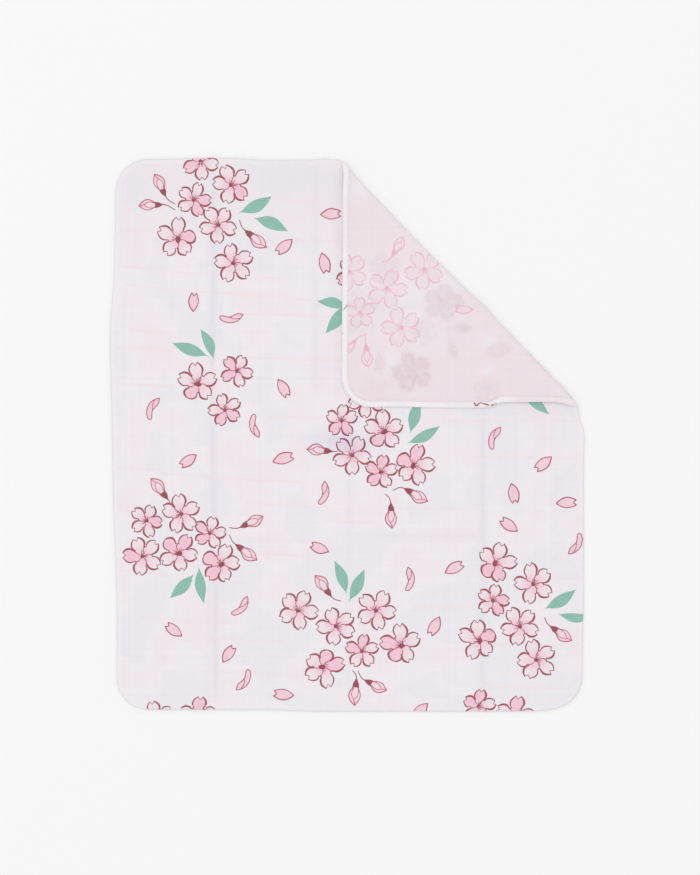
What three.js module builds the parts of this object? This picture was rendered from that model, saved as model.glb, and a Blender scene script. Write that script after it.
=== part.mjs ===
import * as THREE from 'three';

// Folded handkerchief: one cut of soft gauze with a narrow turned hem, laid flat with its face up
// and its top right corner folded over onto the face. Millimetres, +Z up. The origin is under the
// middle of the laid cloth, on the surface that it lies on.
// u and v are a place in the flat cut, from its middle. The fold runs at 45 degrees, so the same
// place is also s, its distance across the fold, and w, its distance along the fold.

const cut = { width: 290, height: 340, cornerRadius: 20 };
const cloth = { thickness: 1, color: 0xf3ebef, roughness: 0.95 };
const hem = { width: 3.4, thickness: 1.8, step: 0.6 };
const fold = {
  start: 113.3, // s where the cloth leaves the surface
  loopRadius: 1.7, // of the middle of the cloth, round the fold
  lieHeight: 2.2, // of the flap's underside, once it has settled
  settleOver: 14, // from the loop to where the flap lies level
};
const mesh = {
  edgeSpacing: 9,
  cornerSteps: 7,
  loopSteps: 7, // round the fold's loop
  rowSteps: 23, // along each line that follows the fold
  settleSteps: 3,
  creaseSpacing: 10,
  fillSpacing: 12,
  rowClear: 2.5, // how far a point of a row or crease stays from the ones before it
  fillClear: 6.6,
};

// What each edge was pulled in by when the cloth was laid, or out by where it is negative, at places
// along that edge, and how far in from the edge the pull reaches. The top and right edges give along
// the fold, on the bias.
const pulls = [
  {
    edge: 'left',
    toward: [1, 0],
    reach: 145,
    places: [
      { at: -116, by: 4.2 },
      { at: -15, by: 1.6 },
      { at: 60, by: 0 },
      { at: 105, by: 2.2 },
      { at: 140, by: 2.6 },
    ],
  },
  {
    edge: 'top',
    toward: [1, -1],
    reach: 100,
    places: [
      { at: -125, by: 1 },
      { at: -80, by: 0 },
      { at: -48, by: 1.5 },
      { at: -18, by: 1.2 },
      { at: 5, by: 3.6 },
      { at: 145, by: 3.4 },
    ],
  },
  {
    edge: 'right',
    toward: [-1, 1],
    reach: 90,
    places: [
      { at: -150, by: 0.2 },
      { at: -90, by: -0.7 },
      { at: -15, by: -0.7 },
      { at: 4, by: -1.3 },
      { at: 20, by: 0.9 },
      { at: 66, by: 0.9 },
      { at: 80, by: -2.2 },
      { at: 150, by: 0.4 },
    ],
  },
  {
    edge: 'bottom',
    toward: [0, 1],
    reach: 120,
    places: [
      { at: -52, by: 1 },
      { at: -15, by: 0 },
    ],
  },
];

// How far the folded edge stands out from a straight line, at places along the fold.
const foldRun = [
  { at: -118, by: 2.4 },
  { at: -90, by: 0.5 },
  { at: -46, by: -0.2 },
  { at: -8, by: 0.1 },
  { at: 4, by: 0.9 },
  { at: 18, by: 0.1 },
  { at: 74, by: -0.4 },
  { at: 88, by: -3.2 },
];
const foldRunReach = 12; // how far from the fold this shows

// Soft creases from the way the handkerchief was put away, each a low ridge.
const creases = [
  { across: 'u', at: -82.7, from: -170, to: 170, height: 0.8 },
  { across: 'u', at: 1.8, from: -170, to: 170, height: 0.45 },
  { across: 'u', at: 83.3, from: -170, to: 170, height: 0.7 },
  { across: 'v', at: -62.5, from: 12, to: 88, height: 0.45 },
];
const creaseHalfWidth = 6;
const creaseEndFade = 16;

const halfWidth = cut.width / 2;
const halfHeight = cut.height / 2;
const loopLength = Math.PI * fold.loopRadius;
const flapStart = fold.start + loopLength;
const hemLines = [0, hem.width, hem.width + hem.step]; // in from the outline

const across = (u, v) => (u + v) * Math.SQRT1_2;
const along = (u, v) => (u - v) * Math.SQRT1_2;
const fromFold = (s, w) => [(s + w) * Math.SQRT1_2, (s - w) * Math.SQRT1_2];
const smooth = THREE.MathUtils.smoothstep;

// The value at one place of a table of places, level before the first and after the last.
function runAt(places, at) {
  const next = places.findIndex((place) => place.at > at);
  if (next === 0) return places[0].by;
  if (next < 0) return places.at(-1).by;
  const [before, after] = [places[next - 1], places[next]];
  return THREE.MathUtils.lerp(before.by, after.by, smooth(at, before.at, after.at));
}

// Where the edges' pulls leave a place of the cut, before it is folded.
function pulled(u, v) {
  const inFrom = {
    left: { depth: u + halfWidth, at: v },
    right: { depth: halfWidth - u, at: v },
    top: { depth: halfHeight - v, at: u },
    bottom: { depth: v + halfHeight, at: u },
  };
  const place = [u, v];
  for (const pull of pulls) {
    const { depth, at } = inFrom[pull.edge];
    const by = runAt(pull.places, at) * Math.max(0, 1 - depth / pull.reach);
    place[0] += pull.toward[0] * by;
    place[1] += pull.toward[1] * by;
  }
  return place;
}

// How far a place is inside the cut's outline.
function depthInside(u, v) {
  const r = cut.cornerRadius;
  const du = Math.abs(u) - (halfWidth - r);
  const dv = Math.abs(v) - (halfHeight - r);
  if (du > 0 && dv > 0) return r - Math.hypot(du, dv);
  return r - Math.max(du, dv);
}

// The thickness at a place: the hem is turned to the back, so it is the thicker band at the edge.
function thicknessAt(u, v) {
  const inside = smooth(depthInside(u, v), hem.width, hem.width + hem.step);
  return THREE.MathUtils.lerp(hem.thickness, cloth.thickness, inside);
}

// How high the creases lift a place. They press flat at the hem and towards their own ends.
function creaseLift(u, v) {
  let lift = 0;
  for (const crease of creases) {
    const [off, run] = crease.across === 'u' ? [u - crease.at, v] : [v - crease.at, u];
    const side = 1 - smooth(Math.abs(off), 0, creaseHalfWidth);
    const ends =
      smooth(run, crease.from, crease.from + creaseEndFade) *
      (1 - smooth(run, crease.to - creaseEndFade, crease.to));
    lift = Math.max(lift, crease.height * side * ends);
  }
  return lift * smooth(depthInside(u, v), hem.width, 4 * hem.width);
}

// Where a place of the cut lies, on its face (side 1) or its back (side -1). The cloth runs level
// to the fold, half way round the loop, and back as the flap.
function lay(u, v, side) {
  const [pulledU, pulledV] = pulled(u, v);
  const s = across(pulledU, pulledV);
  const w = along(pulledU, pulledV);
  const thickness = thicknessAt(u, v);
  const turn = THREE.MathUtils.clamp((s - fold.start) / fold.loopRadius, 0, Math.PI);
  const beyond = Math.max(0, s - flapStart);
  const settled = smooth(beyond, 0, fold.settleOver);
  let reach = Math.min(s, fold.start) + fold.loopRadius * Math.sin(turn) - beyond;
  let height = fold.loopRadius * (1 - Math.cos(turn)) + thickness / 2 + creaseLift(u, v);
  height -= settled * (2 * fold.loopRadius - fold.lieHeight);
  reach -= side * (thickness / 2) * Math.sin(turn);
  height += side * (thickness / 2) * Math.cos(turn);
  const nearFold = 1 - smooth(Math.abs(reach - fold.start), 0, foldRunReach);
  reach += runAt(foldRun, w) * nearFold;
  return [...fromFold(reach, w), height];
}

// One line round the cut, in from its outline by inset: four arcs joined by divided straights.
function ring(inset) {
  const radius = cut.cornerRadius - inset;
  const corners = [
    { u: 1, v: 1, from: 0, straight: cut.width },
    { u: -1, v: 1, from: Math.PI / 2, straight: cut.height },
    { u: -1, v: -1, from: Math.PI, straight: cut.width },
    { u: 1, v: -1, from: (3 * Math.PI) / 2, straight: cut.height },
  ];
  const points = [];
  for (const corner of corners) {
    const middleU = corner.u * (halfWidth - cut.cornerRadius);
    const middleV = corner.v * (halfHeight - cut.cornerRadius);
    for (let i = 0; i <= mesh.cornerSteps; i++) {
      const angle = corner.from + (Math.PI / 2) * (i / mesh.cornerSteps);
      points.push([middleU + radius * Math.cos(angle), middleV + radius * Math.sin(angle)]);
    }
    const length = corner.straight - 2 * cut.cornerRadius;
    const steps = Math.round(length / mesh.edgeSpacing);
    const [lastU, lastV] = points.at(-1);
    for (let i = 1; i < steps; i++) {
      const run = (length * i) / steps;
      points.push([lastU - run * Math.cos(corner.from), lastV - run * Math.sin(corner.from)]);
    }
  }
  return points;
}

// The places along one line parallel to the fold, from the top edge to the right edge, with one on
// each hem line at both ends.
function foldRow(s) {
  const sum = s / Math.SQRT1_2;
  const first = hemLines.map((inset) => [sum - (halfHeight - inset), halfHeight - inset]);
  const last = hemLines.map((inset) => [halfWidth - inset, sum - (halfWidth - inset)]).reverse();
  const start = new THREE.Vector2(...first.at(-1));
  const end = new THREE.Vector2(...last[0]);
  const middle = [];
  for (let i = 1; i < mesh.rowSteps; i++) {
    middle.push(start.clone().lerp(end, i / mesh.rowSteps).toArray());
  }
  return { first, middle, last };
}

// Places on the lines that follow the fold where the flap comes down from the loop.
function settlePoints() {
  const points = [];
  for (let i = 1; i <= mesh.settleSteps; i++) {
    const beyond = (fold.settleOver * i) / mesh.settleSteps;
    for (const place of foldRow(flapStart + beyond).middle) points.push({ place, clear: mesh.rowClear });
  }
  return points;
}

// Places on each crease and beside it.
function creasePoints() {
  const points = [];
  for (const crease of creases) {
    for (const side of [0, -0.5, 0.5, -1, 1]) {
      const off = crease.at + side * creaseHalfWidth;
      const stagger = (Math.abs(side) % 1) * mesh.creaseSpacing;
      for (let run = crease.from + stagger; run <= crease.to; run += mesh.creaseSpacing) {
        const place = crease.across === 'u' ? [off, run] : [run, off];
        points.push({ place, clear: mesh.rowClear });
      }
    }
  }
  return points;
}

// Staggered rows over the whole cut.
function fillPoints() {
  const points = [];
  const rowStep = mesh.fillSpacing * Math.sin(Math.PI / 3);
  let stagger = 0;
  for (let v = -halfHeight; v <= halfHeight; v += rowStep) {
    for (let u = -halfWidth + stagger; u <= halfWidth; u += mesh.fillSpacing) {
      points.push({ place: [u, v], clear: mesh.fillClear });
    }
    stagger = mesh.fillSpacing / 2 - stagger;
  }
  return points;
}

// The edges that only one of the triangles has, each in the direction in which that one runs.
function rimOf(triangles) {
  const rim = new Map();
  for (const [a, b, c] of triangles) {
    for (const [from, to] of [[a, b], [b, c], [c, a]]) {
      if (!rim.delete(`${to} ${from}`)) rim.set(`${from} ${to}`, [from, to]);
    }
  }
  return [...rim.values()];
}

// Joins points with a convex outline into triangles whose circles hold no other point (Delaunay),
// each listed counter-clockwise. A far triangle round them all starts it and is dropped at the end.
function triangulate(points) {
  const far = 40 * cut.height;
  const hair = 1e-7;
  const count = points.length;
  const all = [...points, [-far, -far], [far, -far], [0, far]];
  const circled = (a, b, c) => {
    const [bu, bv] = [all[b][0] - all[a][0], all[b][1] - all[a][1]];
    const [cu, cv] = [all[c][0] - all[a][0], all[c][1] - all[a][1]];
    const [bb, cc] = [bu * bu + bv * bv, cu * cu + cv * cv];
    const twice = 2 * (bu * cv - bv * cu);
    const u = (cv * bb - bv * cc) / twice;
    const v = (bu * cc - cu * bb) / twice;
    return { corners: [a, b, c], u: all[a][0] + u, v: all[a][1] + v, radius: Math.hypot(u, v) };
  };
  let triangles = [circled(count, count + 1, count + 2)];
  points.forEach(([u, v], index) => {
    const holds = (circle) => Math.hypot(u - circle.u, v - circle.v) < circle.radius - hair;
    const opened = triangles.filter(holds);
    triangles = triangles.filter((triangle) => !opened.includes(triangle));
    for (const [from, to] of rimOf(opened.map((triangle) => triangle.corners))) {
      triangles.push(circled(from, to, index));
    }
  });
  return triangles.map(({ corners }) => corners).filter((corners) => Math.max(...corners) < count);
}

// The whole cut as flat triangles: the strip that goes round the loop, in rows that follow the
// fold, and on either side of it the laid part and the flap.
function flatTriangles() {
  const points = [];
  const triangles = [];
  const rows = [];
  for (let k = 0; k <= mesh.loopSteps; k++) {
    const { first, middle, last } = foldRow(fold.start + (loopLength * k) / mesh.loopSteps);
    rows.push([...first, ...middle, ...last].map((place) => points.push(place) - 1));
  }
  for (let k = 0; k < mesh.loopSteps; k++) {
    for (let i = 0; i + 1 < rows[k].length; i++) {
      const [a, b, c, d] = [rows[k][i], rows[k][i + 1], rows[k + 1][i + 1], rows[k + 1][i]];
      triangles.push([a, b, c], [a, c, d]);
    }
  }
  const edgePoints = hemLines.map(ring).flat().map((place) => ({ place, clear: hem.step / 2 }));
  const inner = [...settlePoints(), ...creasePoints(), ...fillPoints()].filter(
    ({ place, clear }) => depthInside(...place) > hemLines.at(-1) + clear,
  );
  const zones = [
    { border: rows[0], holds: (s) => s < fold.start },
    { border: rows.at(-1), holds: (s) => s > flapStart },
  ];
  for (const zone of zones) {
    const own = zone.border.map((index) => points[index]);
    for (const { place, clear } of [...edgePoints, ...inner]) {
      const near = ([u, v]) => Math.hypot(place[0] - u, place[1] - v) < clear;
      if (zone.holds(across(...place)) && !own.some(near)) own.push(place);
    }
    const indices = own.map((place, i) => zone.border[i] ?? points.push(place) - 1);
    for (const corners of triangulate(own)) triangles.push(corners.map((corner) => indices[corner]));
  }
  return { points, triangles };
}

// The closed solid: the face, the back, and the wall round the outline between them.
function clothGeometry() {
  const { points, triangles } = flatTriangles();
  const count = points.length;
  const positions = [1, -1].flatMap((side) => points.flatMap(([u, v]) => lay(u, v, side)));
  const indices = [];
  for (const [a, b, c] of triangles) indices.push(a, b, c, a + count, c + count, b + count);
  for (const [from, to] of rimOf(triangles)) {
    indices.push(from + count, to + count, to, from + count, to, from);
  }
  const geometry = new THREE.BufferGeometry();
  geometry.setAttribute('position', new THREE.Float32BufferAttribute(positions, 3));
  geometry.setIndex(indices);
  geometry.computeBoundingBox();
  const middle = geometry.boundingBox.getCenter(new THREE.Vector3());
  geometry.translate(-middle.x, -middle.y, -geometry.boundingBox.min.z);
  geometry.computeVertexNormals();
  return geometry;
}

const gauze = new THREE.MeshStandardMaterial({
  color: cloth.color,
  roughness: cloth.roughness,
  metalness: 0,
});

const handkerchief = new THREE.Group();
const sheet = new THREE.Mesh(clothGeometry(), gauze);
sheet.name = 'cloth';
handkerchief.add(sheet);

export default handkerchief;
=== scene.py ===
import math
import random

import bpy
import numpy as np
from mathutils import Matrix, Vector
from mathutils.geometry import delaunay_2d_cdt


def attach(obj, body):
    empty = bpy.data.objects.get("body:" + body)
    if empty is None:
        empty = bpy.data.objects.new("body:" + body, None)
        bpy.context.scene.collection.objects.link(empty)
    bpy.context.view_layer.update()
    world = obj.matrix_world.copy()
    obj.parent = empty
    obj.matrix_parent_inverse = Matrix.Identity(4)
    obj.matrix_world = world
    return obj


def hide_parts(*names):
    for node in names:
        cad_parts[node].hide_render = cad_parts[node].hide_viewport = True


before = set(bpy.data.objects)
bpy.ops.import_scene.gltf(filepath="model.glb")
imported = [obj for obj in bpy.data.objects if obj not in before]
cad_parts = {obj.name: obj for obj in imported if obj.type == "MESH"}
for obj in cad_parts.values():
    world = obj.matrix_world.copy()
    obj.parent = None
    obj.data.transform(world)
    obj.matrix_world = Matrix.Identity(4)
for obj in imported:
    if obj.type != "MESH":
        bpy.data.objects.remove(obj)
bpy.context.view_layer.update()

# Folded handkerchief of soft gauze. Sizes are in millimetres until a mesh is made.
# u and v are a place in the flat cut, from its middle. s is how far it is across the fold, w along it.
millimetre = 0.001
rootHalf = math.sqrt(0.5)

cut = {"width": 290, "height": 340, "cornerRadius": 20}
gauze = {"thickness": 0.6, "underFlap": 0.15}    # underFlap is the air between the flap and the face
hem = {
    "width": 3.4,
    "turnedIn": 0.75,       # what the turned edge adds on the back
    "step": 0.45,           # from the turned edge down to the single cloth
    "roundEdge": 0.8,
    "rimDrop": (-0.7, 0.05),    # the rim on the laid part and on the flap, from the cloth's middle
    "sagOver": 13,          # the cloth comes down from its hem to the surface over this
    "stitchLine": 2.75,
    "stitchDip": 0.1,
    "stitchDipWidth": 0.3,
    "pucker": 0.045,
    "puckerPitch": 2.9,
    "puckerReach": 1.6,
}
fold = {"start": 113.3, "loopRadius": 1.7, "flatten": 0.6, "settleOver": 14}

# What each edge was pulled in by when the cloth was laid: (place along the edge, by)
pulls = [
    {"edge": "left", "toward": (1, 0), "reach": 145,
     "places": [(-116, 4.2), (-15, 1.6), (60, 0), (105, 2.2), (140, 2.6)]},
    {"edge": "top", "toward": (1, -1), "reach": 100,
     "places": [(-125, 1), (-80, 0), (-48, 1.5), (-18, 1.2), (5, 3.6), (145, 3.4)]},
    {"edge": "right", "toward": (-1, 1), "reach": 90,
     "places": [(-150, 0.2), (-90, -0.7), (-15, -0.7), (4, -1.3), (24, 0.9), (66, 0.9), (80, -2.2),
                (150, 0.4)]},
    {"edge": "bottom", "toward": (0, 1), "reach": 120, "places": [(-52, 1), (-15, 0), (116, 0), (132, 1.4)]},
]
# How far the folded edge stands out from a straight line, at places along the fold
foldRun = [
    (-118, 1.2), (-90, 0.1), (-46, -0.6), (-8, -0.3), (4, 0.5), (18, -0.3), (74, -0.8), (88, -3.3),
]
foldRunReach = 12

# Soft creases from the way the handkerchief was put away, each a low ridge
creases = [
    {"across": "u", "at": -82.7, "from": -170, "to": 170, "height": 0.7},
    {"across": "u", "at": 1.8, "from": -170, "to": 170, "height": 0.35},
    {"across": "u", "at": 83.3, "from": -170, "to": 170, "height": 0.6},
    {"across": "v", "at": -62.5, "from": 12, "to": 88, "height": 0.35},
]
creaseHalfWidth = 5
creaseEndFade = 16
# half width of the painted shade along a crease
creaseShadeHalf = 1.8
foldShadeHalf = 0.9        # half the width of the painted shade line along the folded edge
# The flap's lower edge doesn't lie quite flat: places along it, height, and how far in it reaches
flapLift = {"at": 50, "width": 22, "height": 0.75, "reach": 26}
# Low waves that the cloth keeps where it lies: height, wave length, direction in degrees, phase
waves = [(0.10, 74, 20, 0.4), (0.08, 47, 105, 2.1), (0.05, 31, 60, 4.4)]

halfWidth = cut["width"] / 2
halfHeight = cut["height"] / 2
loopLength = math.pi * fold["loopRadius"]
flapStart = fold["start"] + loopLength


def smoothStep(value, low, high):
    t = np.clip((value - low) / (high - low), 0, 1)
    return t * t * (3 - 2 * t)


def bell(off, width):
    return np.exp(-(off / width) ** 2)


def runAt(places, at):
    # each stretch of the table adds its own smooth step, level before the first and after the last
    value = np.full(np.shape(at), float(places[0][1]))
    for (start, before), (end, after) in zip(places, places[1:]):
        value = value + (after - before) * smoothStep(at, start, end)
    return value


def across(u, v):
    return (u + v) * rootHalf


def along(u, v):
    return (u - v) * rootHalf


def pulled(u, v):
    inFrom = {
        "left": (u + halfWidth, v),
        "right": (halfWidth - u, v),
        "top": (halfHeight - v, u),
        "bottom": (v + halfHeight, u),
    }
    toU, toV = u, v
    for pull in pulls:
        depth, at = inFrom[pull["edge"]]
        by = runAt(pull["places"], at) * np.maximum(0, 1 - depth / pull["reach"])
        toU = toU + pull["toward"][0] * by
        toV = toV + pull["toward"][1] * by
    return toU, toV


def unpulled(toU, toV):
    # each round comes closer, because the pulls change slowly over the cloth
    u, v = toU, toV
    for _ in range(12):
        overU, overV = pulled(u, v)
        u, v = u - (overU - toU), v - (overV - toV)
    return u, v


def depthInside(u, v):
    r = cut["cornerRadius"]
    du = np.abs(u) - (halfWidth - r)
    dv = np.abs(v) - (halfHeight - r)
    inCorner = (du > 0) & (dv > 0)
    return np.where(inCorner, r - np.hypot(du, dv), r - np.maximum(du, dv))


def creaseOff(crease, u, v):
    return (u - crease["at"], v) if crease["across"] == "u" else (v - crease["at"], u)


def creaseEnds(crease, run):
    begun = smoothStep(run, crease["from"], crease["from"] + creaseEndFade)
    return begun * (1 - smoothStep(run, crease["to"] - creaseEndFade, crease["to"]))


def creaseLift(u, v):
    lift = np.zeros(np.shape(u))
    for crease in creases:
        off, run = creaseOff(crease, u, v)
        side = 1 - smoothStep(np.abs(off), 0, creaseHalfWidth)
        lift = np.maximum(lift, crease["height"] * side * creaseEnds(crease, run))
    return lift * smoothStep(depthInside(u, v), hem["width"], 4 * hem["width"])


def waveLift(u, v):
    lift = 0
    for height, length, direction, phase in waves:
        angle = math.radians(direction)
        run = u * math.cos(angle) + v * math.sin(angle)
        lift = lift + height * (0.5 + 0.5 * np.sin(2 * math.pi * run / length + phase))
    return lift


def layAt(u, v, out):
    # where a place of the cut lies; out is how far it stands on the face's side of the middle of the cloth
    pulledU, pulledV = pulled(u, v)
    s, w = across(pulledU, pulledV), along(pulledU, pulledV)
    radius, flatten = fold["loopRadius"], fold["flatten"]
    turn = np.clip((s - fold["start"]) / radius, 0, math.pi)
    beyond = np.maximum(0, s - flapStart)
    settled = smoothStep(beyond, 0, fold["settleOver"])
    reach = np.minimum(s, fold["start"]) + radius * np.sin(turn) - beyond
    belowU, belowV = (reach + w) * rootHalf, (reach - w) * rootHalf
    onFlap = turn / math.pi
    depth = depthInside(u, v)
    height = gauze["thickness"] / 2 + flatten * radius * (1 - np.cos(turn))
    height = height - settled * (2 * flatten * radius - gauze["thickness"] - gauze["underFlap"])
    sag = 1 - smoothStep(depth, hem["width"], hem["width"] + hem["sagOver"])
    height = height + (1 - onFlap) * hem["turnedIn"] * sag
    height = height + creaseLift(u, v) + onFlap * creaseLift(belowU, belowV) + waveLift(belowU, belowV)
    lifted = bell(v - flapLift["at"], flapLift["width"]) * settled
    lifted = lifted * (1 - smoothStep(halfWidth - u, 0, flapLift["reach"]))
    height = height + flapLift["height"] * lifted
    normalReach, normalUp = -flatten * np.sin(turn), np.cos(turn)
    length = np.hypot(normalReach, normalUp)
    reach = reach + out * normalReach / length
    height = height + out * normalUp / length
    nearFold = 1 - smoothStep(np.abs(reach - fold["start"]), 0, foldRunReach)
    reach = reach + runAt(foldRun, w) * nearFold
    return np.stack([(reach + w) * rootHalf, (reach - w) * rootHalf, height], axis=-1)


def surfaceOut(u, v, side):
    # how far the face (side 1) or the back (side -1) stands from the middle of the cloth
    depth = depthInside(u, v)
    half = gauze["thickness"] / 2
    laidDrop, flapDrop = hem["rimDrop"]
    onFlap = smoothStep(across(*pulled(u, v)), fold["start"], flapStart)
    edgeMiddle = laidDrop + (flapDrop - laidDrop) * onFlap
    turnedIn = hem["turnedIn"] * (1 - smoothStep(depth, hem["width"], hem["width"] + hem["step"]))
    level = half if side > 0 else -(half + turnedIn)
    pitch = 2 * math.pi / hem["puckerPitch"]
    ripple = np.sin(pitch * (u + v) + 2 * np.sin(v / 9)) + np.sin(0.61 * pitch * (u - v) + 1.3)
    pucker = hem["pucker"] * ripple * bell(depth - hem["stitchLine"], hem["puckerReach"])
    dip = hem["stitchDip"] * bell(depth - hem["stitchLine"], hem["stitchDipWidth"])
    rounded = np.sqrt(1 - (1 - np.clip(depth / hem["roundEdge"], 0, 1)) ** 2)
    return edgeMiddle + (level - edgeMiddle) * rounded + (pucker - side * dip) * rounded


# Lines round the cut, in from its outline by inset: four arcs joined by divided straights
def ringPoints(inset, spacing):
    radius = cut["cornerRadius"] - inset
    corners = [(1, 1, 0, cut["width"]), (-1, 1, 90, cut["height"]),
               (-1, -1, 180, cut["width"]), (1, -1, 270, cut["height"])]
    points = []
    for cornerU, cornerV, fromAngle, straight in corners:
        middleU = cornerU * (halfWidth - cut["cornerRadius"])
        middleV = cornerV * (halfHeight - cut["cornerRadius"])
        steps = round(radius * math.pi / 2 / spacing)
        for i in range(steps + 1):
            angle = math.radians(fromAngle + 90 * i / steps)
            points.append((middleU + radius * math.cos(angle), middleV + radius * math.sin(angle)))
        length = straight - 2 * cut["cornerRadius"]
        steps = round(length / spacing)
        heading = math.radians(fromAngle)
        lastU, lastV = points[-1]
        for i in range(1, steps):
            run = length * i / steps
            points.append((lastU - run * math.cos(heading), lastV - run * math.sin(heading)))
    return points


outline = np.array(ringPoints(0, 2))
laidOutline = layAt(outline[:, 0], outline[:, 1], np.full(len(outline), -hem["turnedIn"] / 2))
laidMiddle = (laidOutline.min(axis=0) + laidOutline.max(axis=0))[:2] / 2

# The print is placed by where it lies in the photo: the middle of the cloth is at middle, in pixels
photo = {"middle": (347.2, 434.6), "size": (700, 875), "pixel": 0.6145}


def fromPhoto(x, y):
    offX, offY = x - photo["middle"][0], photo["middle"][1] - y
    return np.array([offX * photo["pixel"], offY * photo["pixel"]])


def toCut(points, onFlap=False):
    # takes places on the laid cloth back to the flat cut, through the fold where they are on the flap
    points = np.asarray(points, float) + laidMiddle
    reach, w = across(points[:, 0], points[:, 1]), along(points[:, 0], points[:, 1])
    straight = reach
    for _ in range(4):
        nearFold = 1 - smoothStep(np.abs(straight - fold["start"]), 0, foldRunReach)
        straight = reach - runAt(foldRun, w) * nearFold
    s = flapStart + fold["start"] - straight if onFlap else straight
    u, v = unpulled((s + w) * rootHalf, (s - w) * rootHalf)
    return np.stack([u, v], axis=-1)


# Colours as they show, 0 to 255
def colour(red, green, blue):
    def linear(value):
        value /= 255
        return value / 12.92 if value <= 0.04045 else ((value + 0.055) / 1.055) ** 2.4
    return np.array([linear(red), linear(green), linear(blue)])


inks = {
    "outline": colour(158, 72, 86),
    "heart": colour(148, 68, 80),
    "calyx": colour(146, 66, 78),
    "bud": colour(186, 82, 102),
    "loosePetal": colour(176, 78, 96),
    "backPrint": colour(238, 152, 186),
}
dyes = {
    "palePetal": colour(238, 229, 233),
    "pinkPetal": colour(243, 178, 200),
    "backPetal": colour(236, 217, 223),
    "leaf": colour(126, 184, 166),
}


# A motif has strokes (points, half widths, ink), blots (filled ink) and fields (dyed shapes)
def newMotif(onFlap=False):
    return {"onFlap": onFlap, "strokes": [], "blots": [], "fields": [], "weight": 1}


def smoothLine(points, spacing=0.9):
    # a curve through the points (Catmull-Rom), divided evenly
    points = np.asarray(points, float)
    ends = [2 * points[0] - points[1], 2 * points[-1] - points[-2]]
    padded = np.vstack([ends[0], points, ends[1]])
    fine = []
    for a, b, c, d in zip(padded, padded[1:], padded[2:], padded[3:]):
        t = np.linspace(0, 1, 12, endpoint=False)[:, None]
        fine.append(0.5 * (2 * b + (c - a) * t + (2 * a - 5 * b + 4 * c - d) * t ** 2
                           + (3 * b - a - 3 * c + d) * t ** 3))
    fine = np.vstack([*fine, points[-1]])
    return divide(fine, spacing)


def divide(line, spacing=0.9):
    lengths = np.concatenate([[0], np.cumsum(np.hypot(*np.diff(line, axis=0).T))])
    count = max(1, round(lengths[-1] / spacing))
    at = np.linspace(0, lengths[-1], count + 1)
    return np.stack([np.interp(at, lengths, line[:, 0]), np.interp(at, lengths, line[:, 1])], axis=-1)


def heading(degrees):
    # a direction on the laid cloth, clockwise from straight up
    angle = math.radians(degrees)
    return np.array([math.sin(angle), math.cos(angle)])


def place(middle, direction, points, scale=1):
    # points are (along the direction, to the right of it)
    points = np.asarray(points, float) * scale
    ahead = np.asarray(direction, float)
    right = np.array([ahead[1], -ahead[0]])
    return np.asarray(middle) + points[:, :1] * ahead + points[:, 1:] * right


# A petal's outline is (how far out, how far aside) for a blossom of radius 1
blossomSizes = {
    "side": [(0.425, 0.242), (0.545, 0.309), (0.69, 0.335), (0.84, 0.283), (0.94, 0.197), (1.015, 0.129)],
    "notch": (0.853, 0.012),
    "cuppedSide": [(0.425, 0.242), (0.54, 0.318), (0.69, 0.34), (0.82, 0.266), (0.907, 0.128), (0.932, 0.0)],
    "sway": 5,              # degrees that a petal may stand off its fifth of the ring
    "longer": (0.95, 1.03),
    "wider": (0.95, 1.07),
    "skew": 0.15,
    "tiltLonger": 0.08,     # a tilted blossom is longer towards its stamens
    "lineHalf": 0.4,
    "backLine": 0.72,       # the back's lines are this much finer
    "swell": [0.62, 1.12, 1.1, 0.55],     # the line's weight from the throat out to the tip
    "shadedSide": 1.45,     # one side of each petal is drawn thicker
    "veinEnd": 0.2,         # the line between two petals runs in to here
    "heart": (0.09, 0.105),
    "tiltedHeart": (0.12, 0.185),
    "stamens": 7,
    "stamenFan": 66,
    "stamenHalf": 0.28,
    "stamenReach": (0.26, 0.36),
    "stamenSway": 6,
    "heartOff": 0.05,
    "heartRagged": (0.84, 1.14),
}


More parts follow.
